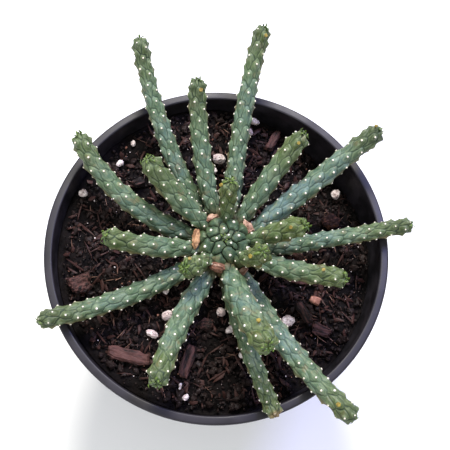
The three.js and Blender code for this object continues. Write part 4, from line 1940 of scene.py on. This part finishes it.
# ------------------------------------------------------------ pot
class Pot:
    """The round nursery pot: a turned shell with a rolled collar, a foot ring and drain holes.

    Attributes:
        SIDES: Points round the shell.
        EDGE: Rounding of the collar's two upper edges.
        FOOT: Rounding where the wall meets the foot, and the floor's inner corner.
        FOOT_WIDTH: Width of the foot ring.
        WALL: Thickness of the wall at the foot.
        PAD: Radius of the pad in the middle of the underside.
        AXIS_GAP: Radius of the smallest ring round the axis.
        HOLES: How many drain holes there are.
        HOLE_CIRCLE: Radius of the circle that they stand on.
        HOLE_RADIUS: Radius of each.
    """

    SIDES = 288
    EDGE = 0.9
    FOOT = 1.5
    FOOT_WIDTH = 6.0
    WALL = 1.6
    PAD = 16.0
    AXIS_GAP = 0.6
    HOLES = 8
    HOLE_CIRCLE = 33.0
    HOLE_RADIUS = 4.5

    def __init__(self, node: SceneObject) -> None:
        """Reads the pot's sizes from its CAD node.

        Args:
            node: The CAD node.
        """
        self.node = node
        points, _ = node_points(node)
        radii = np.linalg.norm(points[:, :2], axis=1)
        self.height = float(points[:, 2].max())
        self.rim = float(radii.max())
        levels = {float(z): radii[np.abs(points[:, 2] - z) < 0.02] for z in np.unique(points[:, 2])}
        self.mouth = float(levels[self.height].min()) - 1.3
        collar = (z for z, r in levels.items() if self.height - 20 < z < self.height - 6 and len(r) > 90)
        self.collar_bottom = next(collar)
        ring = np.sort(levels[self.collar_bottom])
        self.collar_low = float(ring[-1])
        self.neck = float(ring[(ring < ring[-1] - 1.0) & (ring > ring[-1] - 3.2)].max())
        self.throat = float(ring[0])
        self.floor_top = next(z for z in levels if 3.5 < z < 6)
        self.base = float(levels[0.0].max())
        holes = points[(np.abs(points[:, 2]) > 2) & (np.abs(points[:, 2]) < 3)]
        self.recess = float(np.median(holes[:, 2]))

    def _profile(self) -> Array:
        """Gives the outline of the shell, from the middle of its underside round to the middle of its floor.

        Returns:
            The radius and height of each point.
        """

        def arc(r: float, z: float, size: float, start: float, stop: float, count: int) -> Outline:
            """Rounds a corner.

            Args:
                r: Radius of the corner's centre.
                z: Height of its centre.
                size: How round it is.
                start: First bearing, in degrees.
                stop: Last bearing.
                count: How many points it has.

            Returns:
                The points.
            """
            turns = np.linspace(start, stop, count)
            return [(r + size * math.cos(math.radians(a)), z + size * math.sin(math.radians(a))) for a in turns]

        def wall(low_z: float, low_r: float, high_r: float, heights: Sequence[float]) -> Outline:
            """Runs a straight wall up to the collar, or down from it.

            Args:
                low_z: Height of the wall's foot.
                low_r: Its radius at the foot.
                high_r: Its radius at the collar.
                heights: Heights of its points.

            Returns:
                The points.
            """
            return [(np.interp(z, [low_z, self.collar_bottom], [low_r, high_r]), z) for z in heights]

        pad, foot_round, edge, gap = self.PAD, self.FOOT, self.EDGE, self.AXIS_GAP
        outer, top = self.base + foot_round, self.height - self.EDGE
        foot, inner = outer - self.FOOT_WIDTH, outer - self.WALL
        points: Outline = [(gap, 0.0), (pad - 0.4, 0.0), (pad, 0.15), (pad + 1, self.recess)]
        points += [(foot - 1, self.recess), (foot, 0.2), (foot + 0.4, 0.0), (self.base - 0.2, 0.0)]
        points += arc(self.base, foot_round, foot_round, -80, -8, 6)
        points += wall(foot_round, outer, self.neck, (30, 60, 85))
        points += arc(self.neck + 0.7, self.collar_bottom - 0.7, 0.7, 180, 90, 4)
        points += arc(self.collar_low - 0.5, self.collar_bottom + 0.5, 0.5, -90, 0, 5)
        points += arc(self.rim - edge, top, edge, 0, 90, 8)
        points += [(self.rim - 1.9, self.height)]
        points += arc(self.mouth + edge, top, edge, 90, 180, 8)
        points += [(self.throat, self.collar_bottom)]
        points += wall(6, inner, self.throat, (80, 50, 20))
        points += arc(inner - foot_round, self.floor_top + foot_round, foot_round, 0, -90, 5)
        points += [(gap, self.floor_top)]
        return np.array(points)

    def _shell(self) -> SceneObject:
        """Turns the outline into the shell, its collar a little uneven.

        Returns:
            The shell, without its holes.
        """
        around = bearings(self.SIDES)
        body = np.array([at_height(spokes(around) * r, z) for r, z in self._profile()])
        near_rim = smoothstep(body[..., 2], self.height - 9, self.height)
        wave = 0.16 * np.sin(3 * around + 0.6) + 0.09 * np.sin(7 * around + 2.0)
        body[..., 2] -= np.abs(wave)[None] * near_rim
        poles = [0, 0, 0.0], [0, 0, self.floor_top]
        verts = np.vstack([poles[0], body.reshape(-1, 3), poles[1]])
        radii = np.linalg.norm(verts[:, :2], axis=1)
        # painted sheen: marks the top of the lip, which the material paints lighter
        lip = smoothstep(verts[:, 2], self.height - 1.2, self.height - 0.3)
        inside = (radii < self.mouth + 0.6) * smoothstep(verts[:, 2], 60, 108) * (1 - lip)
        return closed_skin("pot_shell", poles[0], body, poles[1], {"lip": lip, "inside": inside})

    def _punch(self) -> NodeRecipe:
        """Builds the node tree that sets out the drain holes and cuts them.

        Returns:
            The tree.
        """
        recipe = NodeRecipe("punch_holes")
        count, circle, hole, depth, material = recipe.add_inputs(
            Count="Int", Circle_Radius="Float", Hole_Radius="Float", Depth="Float", Material="Material"
        )
        seats = recipe.add("MeshCircle", {"Vertices": count, "Radius": circle}).outputs["Mesh"]
        punch = recipe.add("MeshCylinder", {"Vertices": 28, "Radius": hole, "Depth": depth}).outputs["Mesh"]
        placed = recipe.add("InstanceOnPoints", {"Points": seats, "Instance": punch})
        punches = recipe.add("RealizeInstances", {"Geometry": placed.outputs["Instances"]})
        cut = recipe.add("MeshBoolean", operation="DIFFERENCE", solver="EXACT")
        recipe.tree.links.new(recipe.start.outputs["Geometry"], cut.inputs["Mesh 1"])
        recipe.tree.links.new(punches.outputs["Geometry"], cut.inputs["Mesh 2"])
        recipe.finish(cut.outputs["Mesh"], material)
        return recipe

    def build(self) -> SceneObject:
        """Makes the pot.

        Returns:
            The pot.
        """
        made = self._punch().run(
            self._shell(),
            "nursery_pot",
            Count=self.HOLES,
            Circle_Radius=self.HOLE_CIRCLE * MM,
            Hole_Radius=self.HOLE_RADIUS * MM,
            Depth=3 * self.floor_top * MM,
            Material=Look.POT.material,
        )
        Look.POT.dress(made, self.node.name)
        return made


# ------------------------------------------------------------ plant
class Plant:
    """The head, its arms and everything that is repeated over their skin."""

    def __init__(self, nodes: dict[str, SceneObject], kit: ScatterKit) -> None:
        """Reads the plant's CAD nodes.

        Args:
            nodes: The CAD nodes by name.
            kit: The node trees that repeat small shapes.
        """
        self.kit = kit
        self.head = Head(nodes["caudex"])
        names = sorted(name for name in nodes if name.startswith("arm_"))
        pairs = enumerate(zip(names, ARM_SPECS))
        self.arms = [Arm(i, nodes[name], self.head.axis, spec) for i, (name, spec) in pairs]

    @staticmethod
    def _dome(name: str, dent: float = 0.0) -> SceneObject:
        """Makes a low round button of radius 0.5, for a scar.

        Args:
            name: The name of the shape.
            dent: Depth of the dent in its top.

        Returns:
            The shape.
        """
        flat, spoke = 0.55, spokes(bearings(9))
        steps = ((0.9, -0.5), (1.0, 0.0), (0.82, 0.62), (0.45, 0.92))
        body = np.array([at_height(spoke * share * 0.5, z) for share, z in steps])
        body[..., 2] *= flat * 0.5
        return closed_skin(name, [0, 0, -0.5 * flat], body, [0, 0, flat * (0.5 - dent)])

    @staticmethod
    def _leaf(name: str, length: float, width: float, curl: float) -> SceneObject:
        """Makes a small pointed leaf that grows up Z and bends towards X.

        Args:
            name: The name of the shape.
            length: Its length.
            width: Its width.
            curl: How far its tip bends, in radians.

        Returns:
            The shape.
        """
        rings = []
        for share, wide in ((0.0, 0.55), (0.25, 0.95), (0.5, 1.0), (0.75, 0.66), (0.93, 0.25)):
            z = length * share * math.cos(curl * share)
            x = length * share * math.sin(curl * share)
            half, thick = width * wide / 2, width * 0.16 * wide
            edge = x - 0.15 * half
            rings.append([(x - thick, 0, z), (edge, half, z), (x + thick, 0, z), (edge, -half, z)])
        tip = (length * math.sin(curl), 0, length * math.cos(curl))
        return closed_skin(name, [0, 0, -0.1], np.array(rings), tip)

    @staticmethod
    def _flower(name: str) -> SceneObject:
        """Makes a cup-shaped flower with five rounded lobes, growing up Z.

        Args:
            name: The name of the shape.

        Returns:
            The shape.
        """
        turn = bearings(20)
        lobes = 1 + 0.1 * np.cos(5 * turn)
        cup = ((0.3, -0.1, 0), (0.46, 0.4, 0), (0.66, 0.8, 0.6), (0.76, 1.0, 1), (0.6, 1.16, 0.7), (0.3, 0.92, 0))
        rings = []
        for radius, z, lobed in cup:
            reach = radius * (1 + (lobes - 1) * lobed)
            rings.append(at_height(spokes(turn) * reach[:, None], z))
        return closed_skin(name, [0, 0, -0.2], np.array(rings), [0, 0, 1.12])

    def _repeat(
        self, name: str, marks: list[Marks], shapes: list[SceneObject], look: Look, size: float, seed: int
    ) -> None:
        """Repeats sample shapes on marks.

        Args:
            name: The name of the piece that holds them all.
            marks: Where they go.
            shapes: The sample shapes.
            look: Their finish.
            size: Their size.
            seed: Where the random draws start.
        """
        fields = {"facing": "facing", "heading": "heading", "own_size": "size", "places": "places"}
        values = {key: np.concatenate([getattr(m, field) for m in marks]) for key, field in fields.items()}
        host = make_object(f"marks_{name}", values.pop("places"), [], values)
        made = self.kit.marked.run(
            host,
            name,
            Shapes=shape_box(f"samples_{name}", shapes),
            Size=size,
            Unevenness=0.14,
            Seed=seed,
            Material=look.material,
        )
        look.dress(made)

    def build(self) -> None:
        """Makes the whole plant."""
        skin, head_scars, heart_leaves = self.head.build()
        Look.HEAD.dress(skin, self.head.node.name)
        scars, leaves, flowers = [head_scars], [], []
        for arm in self.arms:
            skin, arm_scars, arm_leaves, arm_flowers = arm.build()
            Look.ARM.dress(skin, arm.name)
            scars.append(arm_scars)
            leaves.extend(arm_leaves)
            flowers.append(arm_flowers)
        scar_shapes = [self._dome("scar_a"), self._dome("scar_b", dent=0.2)]
        self._repeat("leaf_scars", scars, scar_shapes, Look.SCAR, 0.98, 5)
        leaf_shapes = [self._leaf(f"leaf_{i}", 2.5 + 0.35 * i, 1.65 - 0.1 * i, 0.4 + 0.2 * i) for i in range(3)]
        self._repeat("crown_leaves", [*leaves, heart_leaves], leaf_shapes, Look.LEAF, 1.0, 6)
        self._repeat("flowers", flowers, [self._flower("flower_a")], Look.FLOWER, 1.15, 7)


# ------------------------------------------------------------ studio
@dataclass(frozen=True)
class Lamp:
    """One soft round light; its places and its size are in metres.

    Attributes:
        name: What it is called.
        place: Where it stands.
        target: What it points at.
        size: How wide it is.
        power: How strong it is, in watts.
        colour: Its colour.
    """

    name: str
    place: tuple[float, float, float]
    target: tuple[float, float, float]
    size: float
    power: float
    colour: Rgb

    def build(self) -> None:
        """Makes the light."""
        light = bpy.data.lights.new(self.name, "AREA")
        light.shape, light.size = "DISK", self.size
        light.energy, light.color = self.power, self.colour
        made = bpy.data.objects.new(self.name, light)
        made.location = self.place
        away = Vector(self.target) - Vector(self.place)
        made.rotation_euler = away.to_track_quat("-Z", "Y").to_euler()
        bpy.context.scene.collection.objects.link(made)


class Studio:
    """A pale floor, soft light and the camera, whose places are in millimetres."""

    LAMPS = (
        Lamp("key", (0.0, 0.75, 1.05), (0.0, 0.0, 0.11), 0.35, 19.0, (1.0, 0.97, 0.91)),
        Lamp("sky", (0.42, 0.42, 1.0), (0.02, 0.02, 0.1), 0.3, 6.5, (0.42, 0.44, 1.0)),
        Lamp("fill", (-0.6, -0.5, 0.9), (0.0, 0.0, 0.1), 0.8, 3.0, (1.0, 1.0, 1.0)),
    )
    CAMERA = (-4.2, -101.2, 475.0)
    TARGET = (3.6, 10.9, 112.0)
    LENS_MM = 68.4
    SENSOR_MM = 36.0

    def build(self) -> None:
        """Makes the floor, the lights and the camera."""
        bpy.context.scene.view_settings.view_transform = "Standard"
        self._floor()
        self._world()
        for lamp in self.LAMPS:
            lamp.build()
        self._camera()

    @staticmethod
    def _floor() -> None:
        """Lays the plain pale floor."""
        bpy.ops.mesh.primitive_plane_add(size=6.0, location=(0, 0, 0))
        floor = bpy.context.object
        floor.name = "floor"
        graph = Graph("pale_floor")
        graph.colour(graph.mix(graph.noise(3.0, 2), (0.93, 0.93, 0.93), (0.96, 0.96, 0.96)))
        graph.roughness(0.9)
        floor.data.materials.append(graph.material)

    @staticmethod
    def _world() -> None:
        """Fills the surroundings with even, soft light."""
        world = bpy.data.worlds.new("soft_sky")
        world.use_nodes = True
        background = world.node_tree.nodes["Background"]
        background.inputs["Color"].default_value = (0.95, 0.97, 1.0, 1.0)
        background.inputs["Strength"].default_value = 0.75
        bpy.context.scene.world = world

    def _camera(self) -> None:
        """Puts the camera over the plant, its picture upright along Y."""
        data = bpy.data.cameras.new("camera")
        data.lens = self.LENS_MM
        data.sensor_width = self.SENSOR_MM
        data.clip_start = 0.01
        data.clip_end = 20.0
        camera = bpy.data.objects.new("camera", data)
        place, target = Vector(self.CAMERA) * MM, Vector(self.TARGET) * MM
        back = (place - target).normalized()
        right = Vector((0, 1, 0)).cross(back).normalized()
        above = back.cross(right)
        turn = Matrix((right, above, back)).transposed()
        camera.matrix_world = Matrix.Translation(place) @ turn.to_4x4()
        bpy.context.scene.collection.objects.link(camera)
        bpy.context.scene.camera = camera


def refine_loose_pieces(nodes: dict[str, SceneObject]) -> None:
    """Replaces every grain, chip and stub with its natural form.

    Args:
        nodes: The CAD nodes by name.
    """
    kinds = {
        "perlite": (PERLITE_ROUGH, Look.PERLITE),
        "bark_chip": (BARK_ROUGH, Look.BARK),
        "dry_stub": (STUB_ROUGH, Look.STUB),
    }
    special = {
        "bark_chip_03": (NUGGET_ROUGH, Look.BARK),
        "bark_chip_04": (NUGGET_ROUGH, Look.NUGGET),
        "bark_chip_05": (PEBBLE_ROUGH, Look.PEBBLE),
        "dry_stub_04": (STUB_ROUGH, Look.HUSK),
        "bark_chip_11": (NUGGET_ROUGH, Look.BARK),
    }
    for name in sorted(nodes):
        kind = name.rsplit("_", 1)[0]
        if kind in kinds:
            rough, look = special.get(name, kinds[kind])
            LoosePiece(nodes[name], rough, look).build()


def main() -> None:
    """Builds every part of the scene in order."""
    logging.basicConfig(level=logging.INFO, format="%(name)s: %(message)s")
    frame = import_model()
    nodes = frame["nodes"]
    kit = ScatterKit()
    Pot(nodes["pot"]).build()
    plant = Plant(nodes, kit)
    soil = Soil(nodes["soil"], plant.head.axis)
    soil.build()
    for litter in LITTERS:
        litter.build(soil, kit)
    refine_loose_pieces(nodes)
    plant.build()
    Studio().build()


if __name__ == "__main__":
    main()
